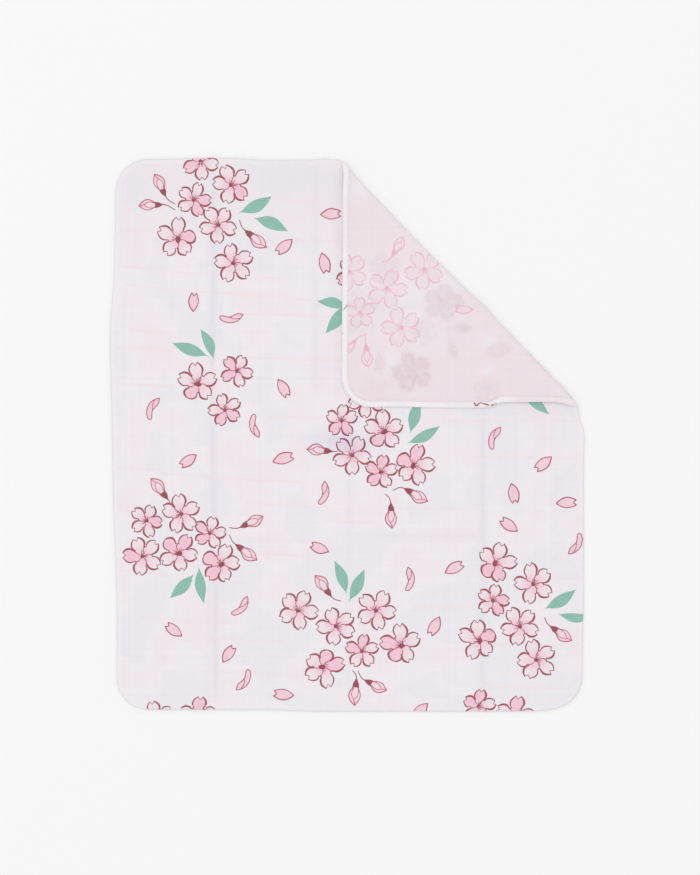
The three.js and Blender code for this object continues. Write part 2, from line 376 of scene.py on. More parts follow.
def blossom(at, radius, turn, lean, deep=(), heart=None, ink="outline", onFlap=False, seed=0):
    # heart is the direction in which the heart of a tilted blossom is long; its first deep petal is cupped
    shape = blossomSizes
    draw = random.Random(seed)
    middle = fromPhoto(*at)
    size = radius * photo["pixel"]
    line = shape["lineHalf"] * (1 if ink == "outline" else shape["backLine"])
    motif = newMotif(onFlap)
    deepest = [round(((angle - turn) % 360) / 72) % 5 for angle in deep]
    cupped = deepest[0] if deepest and heart is not None else None
    shoulders = []
    petals = []
    for petal in range(5):
        angle = turn + 72 * petal
        ahead = heading(angle + draw.uniform(-shape["sway"], shape["sway"]))
        longer = draw.uniform(*shape["longer"])
        if heart is not None:
            longer += shape["tiltLonger"] * math.cos(math.radians(angle - lean))
        wider = draw.uniform(*shape["wider"])
        skew = draw.uniform(-shape["skew"], shape["skew"])
        rows = shape["cuppedSide"] if petal == cupped else shape["side"]
        sides = []
        for sign in (1, -1):
            side = [(x * longer, sign * y * wider + skew * (x - rows[0][0])) for x, y in rows]
            side[0] = (rows[0][0], sign * rows[0][1])
            sides.append(place(middle, ahead, smoothLine(side, 0.9 / size), size))
        notchOut, notchAside = shape["notch"]
        notch = (notchOut * longer, notchAside + skew * (notchOut - rows[0][0]))
        notch = place(middle, ahead, [notch], size)
        shoulders.append((sides[0][0], sides[1][0]))
        for points, weight in ((sides[0], shape["shadedSide"]), (sides[1], 1)):
            swell = np.interp(np.linspace(0, 3, len(points)), range(4), shape["swell"])
            motif["strokes"].append((points, line * weight * swell, ink))
        if petal == cupped:
            petals.append((ahead, np.vstack([sides[0], sides[1][::-1]])))
        else:
            tip = divide(np.vstack([sides[0][-1:], notch, sides[1][-1:]]), 0.6)
            motif["strokes"].append((tip, line * shape["swell"][-1], ink))
            petals.append((ahead, np.vstack([sides[0], notch, sides[1][::-1]])))
    joints = [(shoulders[petal][0] + shoulders[(petal + 1) % 5][1]) / 2 for petal in range(5)]
    for petal, (ahead, edge) in enumerate(petals):
        rim = np.vstack([middle[None], joints[petal][None], edge, joints[petal - 1][None]])
        motif["fields"].append({"rim": rim, "axis": ahead, "middle": middle, "size": size,
                                "deep": petal in deepest, "kind": "petal", "seed": seed + petal})
    for petal, joint in enumerate(joints):
        inward = middle - joint
        bend = np.array([inward[1], -inward[0]]) * 0.12
        vein = smoothLine([joint, joint + inward * 0.35 + bend, joint + inward * (1 - shape["veinEnd"])])
        fade = np.linspace(line * 0.8, line * 0.35, len(vein))
        motif["strokes"].append((vein, fade, ink))
        for shoulder in (shoulders[petal][0], shoulders[(petal + 1) % 5][1]):
            motif["strokes"].append((np.array([shoulder, joint]), line * 0.75, ink))
    # the heart is a small dark blot off the middle, with stamens fanned from it
    dark = "heart" if ink == "outline" else ink
    heartMiddle = middle - heading(lean) * size * shape["heartOff"]
    halfWide, halfLong = (half * size for half in shape["heart" if heart is None else "tiltedHeart"])
    blot = []
    for a in np.linspace(0, 2 * math.pi, 13)[:-1]:
        ragged = draw.uniform(*shape["heartRagged"])
        blot.append((ragged * halfLong * math.cos(a), ragged * halfWide * math.sin(a)))
    motif["blots"].append((place(heartMiddle, heading(lean + 90 if heart is None else heart), blot), dark))
    for i in range(shape["stamens"]):
        spread = lean + shape["stamenFan"] * (2 * i / (shape["stamens"] - 1) - 1)
        spread += draw.uniform(-shape["stamenSway"], shape["stamenSway"])
        reach = size * draw.uniform(*shape["stamenReach"])
        stamen = divide(np.array([heartMiddle, heartMiddle + heading(spread) * reach]), 0.55)
        half = np.linspace(shape["stamenHalf"], 0.5 * shape["stamenHalf"], len(stamen))
        motif["strokes"].append((stamen, half, dark))
    return motif


budSizes = {
    "side": [(0.15, 0.10), (0.33, 0.225), (0.56, 0.285), (0.80, 0.20), (1.03, 0.0)],
    "folds": [[(0.20, 0.09), (0.36, 0.17), (0.56, 0.17), (0.76, 0.05), (0.97, -0.01)],
              [(0.22, -0.13), (0.40, -0.15), (0.60, -0.09), (0.72, 0.02)]],
    "calyx": [(-0.30, 0.02), (-0.18, 0.07), (-0.04, 0.15), (0.10, 0.16), (0.20, 0.19), (0.14, 0.07),
              (0.17, 0.0), (0.14, -0.07), (0.20, -0.17), (0.10, -0.16), (-0.04, -0.14),
              (-0.18, -0.07), (-0.30, -0.02)],
    "lineHalf": 0.26,
    "fuller": 1.12,         # one side is the fuller
    "stemHalf": 0.34,
}


def bud(tip, calyx, stem, ink="bud", onFlap=False):
    shape = budSizes
    motif = newMotif(onFlap)
    tipAt, calyxAt, stemAt = fromPhoto(*tip), fromPhoto(*calyx), fromPhoto(*stem)
    axis = tipAt - calyxAt
    size = float(np.hypot(*axis))
    ahead = axis / size
    sides = []
    for sign in (1, -1):
        fuller = shape["fuller"] if sign > 0 else 2 - shape["fuller"]
        side = [(x, sign * y * fuller) for x, y in shape["side"]]
        sides.append(place(calyxAt, ahead, smoothLine(side, 0.8 / size), size))
        motif["strokes"].append((sides[-1], shape["lineHalf"] * (1.3 if sign > 0 else 1), ink))
    for line in shape["folds"]:
        motif["strokes"].append((place(calyxAt, ahead, smoothLine(line, 0.8 / size), size),
                                 shape["lineHalf"] * 0.8, ink))
    dark = "calyx" if ink == "bud" else ink
    motif["blots"].append((place(calyxAt, ahead, shape["calyx"], size), dark))
    neck = calyxAt - ahead * size * 0.28
    bend = neck - ahead * size * 0.3
    curved = smoothLine([calyxAt, neck, (neck + 2 * bend + stemAt) / 4 + (neck - bend) * 0.1, stemAt])
    motif["strokes"].append((curved, np.linspace(shape["stemHalf"], 0.26, len(curved)), dark))
    rim = np.vstack([sides[0], sides[1][::-1]])
    motif["fields"].append({"rim": rim, "axis": ahead, "middle": calyxAt, "size": size,
                            "deep": False, "kind": "bud", "seed": tip[0]})
    return motif


loosePetalSizes = {
    "length": 17.5,         # pixels, as every motif's radius is
    "side": [(0.52, 0.0), (0.36, 0.14), (0.14, 0.265), (-0.10, 0.30), (-0.36, 0.235), (-0.53, 0.15)],
    "notch": (-0.37, 0.02),
    "lineHalf": 0.31,
}


def loosePetal(at, toward, length=None, slim=1.0, ink="loosePetal", onFlap=False):
    shape = loosePetalSizes
    motif = newMotif(onFlap)
    middle = fromPhoto(*at)
    size = (length or shape["length"]) * photo["pixel"]
    ahead = heading(toward)
    sides = []
    for sign, bulge in ((1, 1.0), (-1, 0.82)):
        side = [(x, sign * y * bulge * slim) for x, y in shape["side"]]
        sides.append(place(middle, ahead, smoothLine(side, 0.8 / size), size))
        motif["strokes"].append((sides[-1], shape["lineHalf"] * (1.2 if sign > 0 else 0.95), ink))
    notch = place(middle, ahead, [shape["notch"]], size)
    motif["strokes"].append((divide(np.vstack([sides[0][-1:], notch, sides[1][-1:]]), 0.7),
                             shape["lineHalf"], ink))
    rim = np.vstack([sides[0], notch, sides[1][::-1]])
    motif["fields"].append({"rim": rim, "axis": ahead, "middle": middle, "size": size,
                            "deep": False, "kind": "loose", "seed": at[0]})
    return motif


curledPetalSizes = {
    "length": 24,
    "back": [(0.5, -0.02), (0.37, 0.12), (0.16, 0.225), (-0.08, 0.235), (-0.31, 0.15), (-0.47, 0.02)],
    "front": [(-0.47, 0.02), (-0.48, -0.09), (-0.38, -0.12), (-0.12, -0.01), (0.06, -0.035), (0.28, -0.09),
              (0.5, -0.02)],
    "curl": [(-0.10, -0.02), (0.06, 0.085), (0.22, 0.12), (0.37, 0.11)],
    "lineHalf": 0.29,
}


def curledPetal(at, toward, mirrored=False, length=None):
    shape = curledPetalSizes
    motif = newMotif()
    middle = fromPhoto(*at)
    size = (length or shape["length"]) * photo["pixel"]
    flip = -1 if mirrored else 1
    lines = []
    for name in ("back", "front", "curl"):
        side = [(x, flip * y) for x, y in shape[name]]
        lines.append(place(middle, heading(toward), smoothLine(side, 0.8 / size), size))
        motif["strokes"].append((lines[-1], shape["lineHalf"] * (0.8 if name == "curl" else 1), "loosePetal"))
    motif["fields"].append({"rim": np.vstack([lines[0], lines[1]]), "axis": heading(toward),
                            "middle": middle, "size": size, "deep": False, "kind": "loose",
                            "seed": at[0]})
    return motif


leafSizes = {
    "halves": [(0.0, 0.008), (0.10, 0.02), (0.20, 0.075), (0.36, 0.145), (0.54, 0.165), (0.72, 0.125),
               (0.88, 0.055), (1.0, 0.0)],
}


def leaf(tail, tip, bend=0.06, wide=1.0, onFlap=False):
    motif = newMotif(onFlap)
    tailAt, tipAt = fromPhoto(*tail), fromPhoto(*tip)
    axis = tipAt - tailAt
    size = float(np.hypot(*axis))
    sides = []
    for sign in (1, -1):
        side = [(x, sign * y * wide + bend * math.sin(math.pi * x)) for x, y in leafSizes["halves"]]
        sides.append(place(tailAt, axis / size, smoothLine(side, 1.1 / size), size))
    motif["fields"].append({"rim": np.vstack([sides[0], sides[1][::-1]]), "axis": axis / size,
                            "middle": tailAt, "size": size, "deep": False, "kind": "leaf",
                            "seed": tail[0]})
    return motif


# The face's print. turn is where one petal points and lean where the stamens do, clockwise from up;
# deep lists the directions of the petals that are dyed deeper.
blossoms = [
    dict(at=(201, 162), radius=18, turn=32, lean=150, deep=(248,)),
    dict(at=(231.5, 185), radius=19.5, turn=58, lean=60, deep=(133,)),
    dict(at=(194, 200), radius=17, turn=18, lean=20, deep=(90, 162)),
    dict(at=(178, 239), radius=20, turn=4, lean=340, deep=(76,), heart=0),
    dict(at=(218, 225), radius=19, turn=38, lean=300),
    dict(at=(233.5, 263), radius=19.5, turn=61, lean=80),
    dict(at=(197.5, 383.5), radius=19.5, turn=70, lean=340, deep=(214,), heart=95),
    dict(at=(237, 371), radius=16.5, turn=30, lean=50, deep=(246, 318)),
    dict(at=(225, 410), radius=16.5, turn=58, lean=0, deep=(130, 202)),
    dict(at=(341.6, 420.6), radius=16.5, turn=5, lean=0, deep=(149, 221)),
    dict(at=(384, 431), radius=20, turn=68, lean=330, deep=(212,), heart=75),
    dict(at=(367, 399), radius=18.5, turn=45, lean=300),
    dict(at=(352, 455), radius=19.5, turn=32, lean=320),
    dict(at=(381, 472), radius=17, turn=9, lean=60, deep=(297, 9, 225)),
    dict(at=(414, 465.5), radius=20, turn=15, lean=60, deep=(303, 15), heart=10),
    dict(at=(146.6, 520.5), radius=16.5, turn=20, lean=300, deep=(92,)),
    dict(at=(181, 514), radius=19.5, turn=65, lean=270),
    dict(at=(210, 533), radius=16, turn=15, lean=30, deep=(303, 231)),
    dict(at=(143, 556), radius=19.5, turn=51, lean=60, deep=(267,)),
    dict(at=(178.5, 553), radius=19.5, turn=30, lean=320, deep=(318, 30), heart=85),
    dict(at=(221, 564), radius=19.5, turn=12, lean=310, deep=(300, 228), heart=45),
    dict(at=(298, 610), radius=20, turn=29, lean=20),
    dict(at=(336.5, 626), radius=19.5, turn=47, lean=80),
    dict(at=(376, 610), radius=20, turn=29, lean=10),
    dict(at=(362, 651), radius=16.5, turn=2, lean=40, deep=(2, 290)),
    dict(at=(401, 645), radius=20, turn=68, lean=320, deep=(212, 284), heart=80),
    dict(at=(323, 667), radius=20, turn=14, lean=110, deep=(14, 86), heart=80),
    dict(at=(495.6, 563), radius=19.5, turn=19, lean=70, deep=(235, 163), heart=0),
    dict(at=(533.6, 583.6), radius=20, turn=58, lean=60),
    dict(at=(493, 600.5), radius=16.5, turn=13, lean=20, deep=(85, 157)),
    dict(at=(519.7, 626), radius=19.5, turn=39, lean=320),
    dict(at=(479, 640), radius=20, turn=71, lean=310, deep=(71,), heart=5),
    dict(at=(536.5, 659.5), radius=20, turn=57, lean=75),
    dict(at=(156.5, 718.5), radius=17.5, turn=347, lean=0),
    dict(at=(198, 715.5), radius=19, turn=4, lean=0, deep=(4,)),
    dict(at=(478.6, 706), radius=16.5, turn=6, lean=70, deep=(6, 294)),
    dict(at=(515, 716), radius=19.5, turn=8, lean=50, deep=(8,)),
    dict(at=(354, 275), radius=18, turn=36, lean=90, deep=(252,)),
    dict(at=(489.5, 386), radius=20, turn=24, lean=0),
]
buds = [
    dict(tip=(155, 175), calyx=(163.5, 192), stem=(175, 204)),
    dict(tip=(139.5, 206), calyx=(158, 205), stem=(175, 210)),
    dict(tip=(266, 247), calyx=(249.5, 234), stem=(239.5, 220)),
    dict(tip=(307.5, 449.5), calyx=(327, 451), stem=(337.5, 451)),
    dict(tip=(427, 501), calyx=(409, 491), stem=(393, 490.5)),
    dict(tip=(392, 527.5), calyx=(391, 508), stem=(385.5, 494)),
    dict(tip=(151.5, 479), calyx=(164.5, 495), stem=(169.5, 503)),
    dict(tip=(262.5, 516.5), calyx=(245, 525), stem=(229.5, 527.5)),
    dict(tip=(256.5, 559.5), calyx=(240, 547.5), stem=(229.5, 535)),
    dict(tip=(315.5, 576), calyx=(328, 592), stem=(341, 601)),
    dict(tip=(354.5, 704.5), calyx=(356, 684), stem=(352.5, 670.5)),
    dict(tip=(386, 690), calyx=(369, 682), stem=(358, 670.5)),
    dict(tip=(571, 640), calyx=(554.5, 629), stem=(544.5, 617.5)),
]
leaves = [
    dict(tail=(238.5, 213), tip=(272, 196.5), bend=0.05),
    dict(tail=(253, 218), tip=(288, 231.5), bend=-0.05),
    dict(tail=(209, 356.5), tip=(172, 343), bend=0.0, wide=0.9),
    dict(tail=(214, 360.5), tip=(200.5, 329), bend=0.07, wide=0.9),
    dict(tail=(410, 434), tip=(419, 399), bend=0.0, wide=1.0),
    dict(tail=(406.5, 443.5), tip=(440, 426), bend=0.05, wide=0.85),
    dict(tail=(194.5, 573.5), tip=(170, 598), bend=-0.03),
    dict(tail=(199, 566), tip=(204, 603.5), bend=0.03, wide=0.85),
    dict(tail=(347, 595), tip=(334.5, 560.5), bend=0.04, wide=0.9),
    dict(tail=(348.5, 602), tip=(364.5, 569), bend=0.02, wide=0.95),
    dict(tail=(543.5, 609), tip=(575.5, 589.5), bend=0.05, wide=0.95),
    dict(tail=(556, 613), tip=(595, 615.5), bend=0.09, wide=0.72),
    dict(tail=(349, 308), tip=(317, 301.5), bend=0.06),
    dict(tail=(347.5, 303), tip=(325.5, 333.5), bend=-0.04),
    dict(tail=(521.5, 391.5), tip=(549, 414.5), bend=-0.01, wide=0.85),
]
loosePetals = [
    dict(at=(284.5, 246), toward=50, length=19),
    dict(at=(330.5, 214.5), toward=268, length=19),
    dict(at=(324, 263), toward=347, length=19.5),
    dict(at=(194, 302.5), toward=184),
    dict(at=(282.8, 388), toward=332, length=18.5),
    dict(at=(188.5, 460), toward=55, length=18),
    dict(at=(283, 459), toward=254, length=20),
    dict(at=(320, 548), toward=112, length=18),
    dict(at=(174.5, 630), toward=128, length=18),
    dict(at=(228.5, 654.5), toward=216, length=18),
    dict(at=(284, 694), toward=97, length=19),
    dict(at=(543.5, 463), toward=52, length=19),
    dict(at=(513, 493), toward=350, length=19),
    dict(at=(566, 503), toward=268, length=19),
    dict(at=(509.5, 525), toward=127, length=19),
    dict(at=(454, 568.5), toward=244, length=19),
    dict(at=(434.5, 625.5), toward=30, length=19),
    dict(at=(420.5, 709.5), toward=48, length=18),
]
curledPetals = [
    dict(at=(231.5, 317), toward=80),
    dict(at=(153.5, 408.5), toward=28, mirrored=True),
    dict(at=(255.5, 426), toward=165),
    dict(at=(323, 493), toward=10),
    dict(at=(240.5, 606), toward=38),
    dict(at=(243.5, 680), toward=214, mirrored=True),
    dict(at=(495, 438), toward=25, mirrored=True),
    dict(at=(575, 544), toward=212, mirrored=True),
    dict(at=(408.5, 579), toward=0),
]
# On the flap the face looks down; its print only shows through the back as a shade: how much, and what
shownThrough = [
    (0.85, dict(at=(443, 303), radius=18.5, turn=10, lean=0, deep=(298,))),
    (1.0, dict(at=(412, 372), radius=19.5, turn=52, lean=200, deep=(124, 340))),
    (0.25, dict(at=(375, 391), radius=14, turn=50, lean=0)),
    (0.5, dict(at=(547, 352), radius=18, turn=28, lean=0)),
    (0.4, dict(at=(487, 390), radius=14, turn=0, lean=0)),
    (0.4, dict(at=(364, 300), radius=15, turn=30, lean=0)),
    (0.5, dict(at=(384, 269), radius=16, turn=60, lean=0)),
    (0.4, dict(at=(425, 333), radius=13, turn=40, lean=0)),
]
shownThroughPetals = [
    (0.55, dict(at=(379, 362), toward=0, length=18)),
    (0.55, dict(at=(499, 350), toward=85, length=22)),
]
shownThroughBuds = [
    (0.75, dict(tip=(470, 328), calyx=(455, 328), stem=(442, 331))),
    (0.65, dict(tip=(455, 357), calyx=(451, 342), stem=(446, 330))),
]
shownThroughLeaves = [(0.8, dict(tail=(364, 317), tip=(346, 337)))]
# The turned edge is the face's own cloth, so bits of the print lie on it. On the flap they show.
hemLeaves = [
    dict(tail=(350, 300.5), tip=(341.5, 312), bend=-0.05, wide=0.42, onFlap=True),
    dict(tail=(341.8, 335), tip=(343, 331.5), bend=0.0, wide=1.6, onFlap=True),
]
hemLines = [
    [(474, 403), (476.3, 405.8), (479.8, 402.8), (484, 404), (488.4, 405.2)],
    [(491, 405), (493.5, 405), (496.5, 403.2)],
]
hemLineHalf = 0.42
# The back's own print, in one pink line
backBlossoms = [
    dict(at=(424, 270), radius=20, turn=41, lean=180),
    dict(at=(386.6, 289), radius=20, turn=21, lean=180),
    dict(at=(349, 272), radius=19, turn=50, lean=180),
    dict(at=(360, 313), radius=15.5, turn=68, lean=180),
    dict(at=(401, 327.5), radius=20, turn=55, lean=270),
]
backBuds = [
    dict(tip=(402.5, 237.5), calyx=(394, 253), stem=(382, 262)),
    dict(tip=(347, 353), calyx=(354.5, 342), stem=(366, 334.5)),
    dict(tip=(368.5, 367), calyx=(366.3, 348.5), stem=(365.5, 335)),
]
backPetals = [dict(at=(464, 309.5), toward=92, length=17, slim=0.8)]
# The same print goes on over the rest of the back: steps of the cut, across and up
backRepeats = [(-88, -118), (-176, 20), (-120, -236)]

print("drawing the print")
faceMotifs = [blossom(seed=i, **row) for i, row in enumerate(blossoms)]
faceMotifs += [bud(**row) for row in buds]
faceMotifs += [leaf(**row) for row in leaves]
faceMotifs += [loosePetal(**row) for row in loosePetals]
faceMotifs += [curledPetal(**row) for row in curledPetals]
throughMotifs = [{**blossom(seed=50 + i, onFlap=True, **row), "weight": weight}
                 for i, (weight, row) in enumerate(shownThrough)]
throughMotifs += [{**bud(onFlap=True, **row), "weight": weight} for weight, row in shownThroughBuds]
throughMotifs += [{**loosePetal(onFlap=True, **row), "weight": weight} for weight, row in shownThroughPetals]
throughLeafMotifs = [{**leaf(onFlap=True, **row), "weight": weight} for weight, row in shownThroughLeaves]
hemMotifs = [leaf(**row) for row in hemLeaves]
for row in hemLines:
    line = smoothLine([fromPhoto(*point) for point in row], 0.7)
    hemMotifs.append({**newMotif(onFlap=True), "strokes": [(line, hemLineHalf, "outline")]})
backMotifs = [blossom(seed=70 + i, ink="backPrint", onFlap=True, **row)
              for i, row in enumerate(backBlossoms)]
backMotifs += [bud(ink="backPrint", onFlap=True, **row) for row in backBuds]
backMotifs += [loosePetal(ink="backPrint", onFlap=True, **row) for row in backPetals]


def flatten(motif, step=(0, 0)):
    # the motif in the cut's own plane
    step = np.array(step, float)
    flat = {"strokes": [], "blots": [], "fields": [], "weight": motif["weight"]}
    for points, half, ink in motif["strokes"]:
        half = np.broadcast_to(np.asarray(half, float), len(points))
        flat["strokes"].append((toCut(points, motif["onFlap"]) + step, half, ink))
    for points, ink in motif["blots"]:
        flat["blots"].append((toCut(points, motif["onFlap"]) + step, ink))
    for field in motif["fields"]:
        rim = toCut(field["rim"], motif["onFlap"]) + step
        root = toCut([field["middle"]], motif["onFlap"])[0] + step
        ahead = toCut([field["middle"] + field["axis"]], motif["onFlap"])[0] + step - root
        flat["fields"].append({**field, "rim": rim, "middle": root, "axis": ahead / np.hypot(*ahead)})
    everything = np.vstack([row[0] for row in flat["strokes"] + flat["blots"]]
                           + [field["rim"] for field in flat["fields"]])
    flat["low"], flat["high"] = everything.min(axis=0), everything.max(axis=0)
    return flat


facePrint = [flatten(motif) for motif in faceMotifs]
throughPrint = [flatten(motif) for motif in throughMotifs]
throughLeaves = [flatten(motif) for motif in throughLeafMotifs]
hemPrint = [flatten(motif) for motif in hemMotifs]
backPrint = [flatten(motif) for motif in backMotifs]
for step in backRepeats:
    backPrint += [flatten(motif, step) for motif in backMotifs]

# Thicker threads (slubs) that run across, each from one place to another in the photo
slubs = [
    ((120, 230), (162, 230)), ((283, 240), (342, 241)), ((123, 267), (172, 270)), ((175, 272), (210, 275)),
    ((255, 277), (278, 278)), ((127, 285), (208, 292)), ((210, 292), (262, 296)), ((295, 299), (342, 303)),
    ((252, 314), (342, 317)), ((118, 347), (172, 351)), ((238, 357), (342, 361)), ((122, 384), (173, 386)),
    ((268, 417), (328, 418)), ((120, 468), (157, 470)), ((162, 473), (208, 477)), ((212, 478), (300, 482)),
    ((115, 507), (155, 507)), ((262, 505), (325, 507)), ((392, 508), (472, 509)), ((238, 537), (328, 542)),
    ((252, 553), (315, 557)), ((120, 570), (172, 575)), ((175, 579), (245, 583)), ((142, 617), (228, 623)),
    ((210, 638), (282, 642)), ((222, 672), (312, 677)), ((448, 421), (582, 421)), ((473, 457), (584, 458)),
    ((482, 579), (582, 579)), ((491, 645), (582, 645)), ((491, 687), (582, 688)), ((330, 521), (372, 523)),
    ((414, 607), (470, 607)), ((262, 200), (338, 203)), ((135, 330), (170, 333)), ((260, 627), (300, 630)),
]
slubLines = [toCut(divide(np.array([fromPhoto(*a), fromPhoto(*b)]), 2.6)) for a, b in slubs]
slubHalf = 0.8
stain = {"at": (342, 442), "half": (30, 11)}     # a pale blue patch, pixels
stainAt = toCut([fromPhoto(*stain["at"])])[0]
# Painted shade: soft grey bands beside and under the flap, and where the cloth doesn't lie quite flat: from,
# to, half width and strength
paintedShadeBands = [
    ((315, 170), (315, 392), 2.2, 0.30), ((338, 176), (338, 396), 1.8, 0.5),
    ((375, 537), (482, 537), 1.0, 0.4), ((556, 430), (556, 560), 1.2, 0.2),
    ((209, 585), (207, 705), 1.6, 0.35), ((213, 300), (212, 372), 1.4, 0.3),
    ((500, 411), (590, 412), 3.6, 0.25),
]
paintedShadeLines = [(toCut(divide(np.array([fromPhoto(*a), fromPhoto(*b)]), 4)), half, strength)
             for a, b, half, strength in paintedShadeBands]
# Paler, cooler patches on the flap: middle and half sizes, pixels
coolPatches = [
    ((372, 285), (30, 24)), ((410, 300), (34, 34)), ((425, 338), (20, 14)), ((391, 360), (9, 9)),
    ((489, 340), (9, 8)), ((488, 371), (8, 8)), ((361, 185), (9, 16)), ((445, 283), (13, 10)),
]
coolMiddles = [toCut([fromPhoto(*at)], True)[0] for at, _ in coolPatches]


def newField():
    return {"cell": 1.0, "grid": {}, "points": []}


def addPoints(field, points, least):
    # keeps a point only where none lies within least of it yet
    cell, grid = field["cell"], field["grid"]
    span = math.ceil(least / cell)
    limit = least * least
    for x, y in points:
        x, y = round(float(x), 3), round(float(y), 3)
        column, row = math.floor(x / cell), math.floor(y / cell)
        near = (other for i in range(column - span, column + span + 1)
                for j in range(row - span, row + span + 1) for other in grid.get((i, j), ()))
        if all((x - a) ** 2 + (y - b) ** 2 >= limit for a, b in near):
            grid.setdefault((column, row), []).append((x, y))
            field["points"].append((x, y))


meshSteps = {
    "outlineSpacing": 2.2,
    "loopShare": 4,         # the rings are this many times finer where they cross the fold
    "loopRows": 11,
    "loopSpacing": 2.4,
    "strokeOff": 0.95,
    "strokeOffSpacing": 1.5,
    "fieldSpacing": 1.9,    # inside dyed shapes
    "faceFill": 3.3,
    "backFill": 3.6,
    "flapFill": 1.9,
    "flapFrom": (-15, 0),   # the flap's fill lies right of and above this place
    "slubSpacing": 2.6,
    "printIn": 0.8,         # the print's own points stay this far in from the outline
    "refineRounds": 2,
    "refineIn": 0.7,
    "nearEdge": 0.35,       # only near the edge of a printed shape are points added
    "inkError": 0.1,
    "dyeError": 0.25,
}
# How far points of each kind stay clear of the points before them, or that as a share of their spacing
clear = {
    "rim": 0.08, "fold": 0.3, "stroke": 0.34, "blot": 0.4, "strokeOff": 0.62, "field": 1.25,
    "slub": 0.7, "crease": 1.2, "flapShare": 0.68, "fillShare": 0.62, "refine": 0.28,
}
# Rings in from the outline, closest where the edge rounds over, at the stitches and at the step
hemRings = [0, 0.12, 0.35, 0.62, 1.5, 2.3, 2.75, 3.2, 3.42, 3.85, 4.6]


def inside(points, least):
    points = np.asarray(points, float)
    return points[depthInside(points[:, 0], points[:, 1]) > least]


def foldRows():
    rows = []
    count = meshSteps["loopRows"]
    for k in range(-2, count + 3):
        s = fold["start"] + loopLength * k / count
        total = s / rootHalf
        lowU, highU = total - halfHeight, halfWidth
        steps = round((highU - lowU) / rootHalf / meshSteps["loopSpacing"])
        shift = 0.5 * (k % 2)
        us = lowU + (highU - lowU) * (np.arange(steps) + shift) / steps
        rows.append(np.stack([us, total - us], axis=-1))
    return np.vstack(rows)


def offsetPoints(line, off, spacing):
    line = divide(line, spacing)
    if len(line) < 2:
        return np.zeros((0, 2))
    run = np.gradient(line, axis=0)
    run = run / np.maximum(np.hypot(run[:, 0], run[:, 1]), 1e-9)[:, None]
    side = np.stack([run[:, 1], -run[:, 0]], axis=-1) * off
    return np.vstack([line + side, line - side])


def gridPoints(spacing, low, high):
    points = []
    stagger = 0
    v = low[1]
    while v <= high[1]:
        us = np.arange(low[0] + stagger, high[0], spacing)
        points.append(np.stack([us, np.full(len(us), v)], axis=-1))
        stagger = spacing / 2 - stagger
        v += spacing * math.sqrt(0.75)
    return np.vstack(points)


def leafRims(motif):
    return [shape["rim"] for shape in motif["fields"] if shape["kind"] == "leaf"]


def clothPoints(motifs, fillSpacing, flapSpacing, withSlubs):
    # where the mesh of one side has its points: the hem, the fold, the print, the creases, then the rest
    field = newField()
    fine = meshSteps["outlineSpacing"] / meshSteps["loopShare"]
    for inset in hemRings:
        ring = ringPoints(inset, fine)
        kept = []
        for i, (u, v) in enumerate(ring):
            inLoop = fold["start"] - 1.5 < across(*pulled(u, v)) < flapStart + 1.5
            if inLoop or i % meshSteps["loopShare"] == 0:
                kept.append((u, v))
        addPoints(field, kept, clear["rim"])
    innermost = hemRings[-1]
    printIn = meshSteps["printIn"]
    addPoints(field, inside(foldRows(), innermost + 0.3), clear["fold"])
    for motif in motifs:
        for points, _, _ in motif["strokes"]:
            addPoints(field, inside(points, printIn), clear["stroke"])
        for points, _ in motif["blots"]:
            addPoints(field, inside(divide(np.vstack([points, points[:1]]), 0.8), printIn), clear["blot"])
        for rim in leafRims(motif):
            addPoints(field, inside(rim, printIn), clear["blot"])
    off, spacing = meshSteps["strokeOff"], meshSteps["strokeOffSpacing"]
    for motif in motifs:
        for line in [points for points, _, _ in motif["strokes"]] + leafRims(motif):
            addPoints(field, inside(offsetPoints(line, off, spacing), printIn), clear["strokeOff"])
    for motif in motifs:
        for shape in motif["fields"]:
            low, high = shape["rim"].min(axis=0), shape["rim"].max(axis=0)
            dyed = gridPoints(meshSteps["fieldSpacing"], low, high)
            addPoints(field, inside(dyed, printIn), clear["field"])
    if withSlubs:
        for line in slubLines:
            beside = offsetPoints(line, slubHalf + 0.1, meshSteps["slubSpacing"])
            addPoints(field, inside(line, innermost), clear["slub"])
            addPoints(field, inside(beside, innermost), clear["slub"])
    for crease in creases:
        for off in (0, -1.6, 1.6, -3.4, 3.4):
            runs = np.arange(crease["from"], crease["to"], 3.0) + (1.5 if off else 0)
            line = np.full(len(runs), crease["at"] + off)
            pair = (line, runs) if crease["across"] == "u" else (runs, line)
            addPoints(field, inside(np.stack(pair, axis=-1), innermost + 0.5), clear["crease"])
    low, high = (-halfWidth, -halfHeight), (halfWidth, halfHeight)
    if flapSpacing:
        flapFill = gridPoints(flapSpacing, meshSteps["flapFrom"], high)
        onFlap = across(flapFill[:, 0], flapFill[:, 1]) > flapStart
        addPoints(field, inside(flapFill[onFlap], innermost + 0.6), clear["flapShare"] * flapSpacing)
    fill = gridPoints(fillSpacing, low, high)
    addPoints(field, inside(fill, innermost + 1), clear["fillShare"] * fillSpacing)
    return field


def triangulate(points):
    found = delaunay_2d_cdt([Vector(point) for point in points], [], [], 0, 1e-5)
    places = np.array([vertex[:] for vertex in found[0]], float)
    triangles = np.array([face[:3] for face in found[2]], int)
    a, b, c = (places[triangles[:, i]] for i in range(3))
    turned = (b[:, 0] - a[:, 0]) * (c[:, 1] - a[:, 1]) - (b[:, 1] - a[:, 1]) * (c[:, 0] - a[:, 0])
    triangles[turned < 0] = triangles[turned < 0][:, ::-1]
    return places, triangles


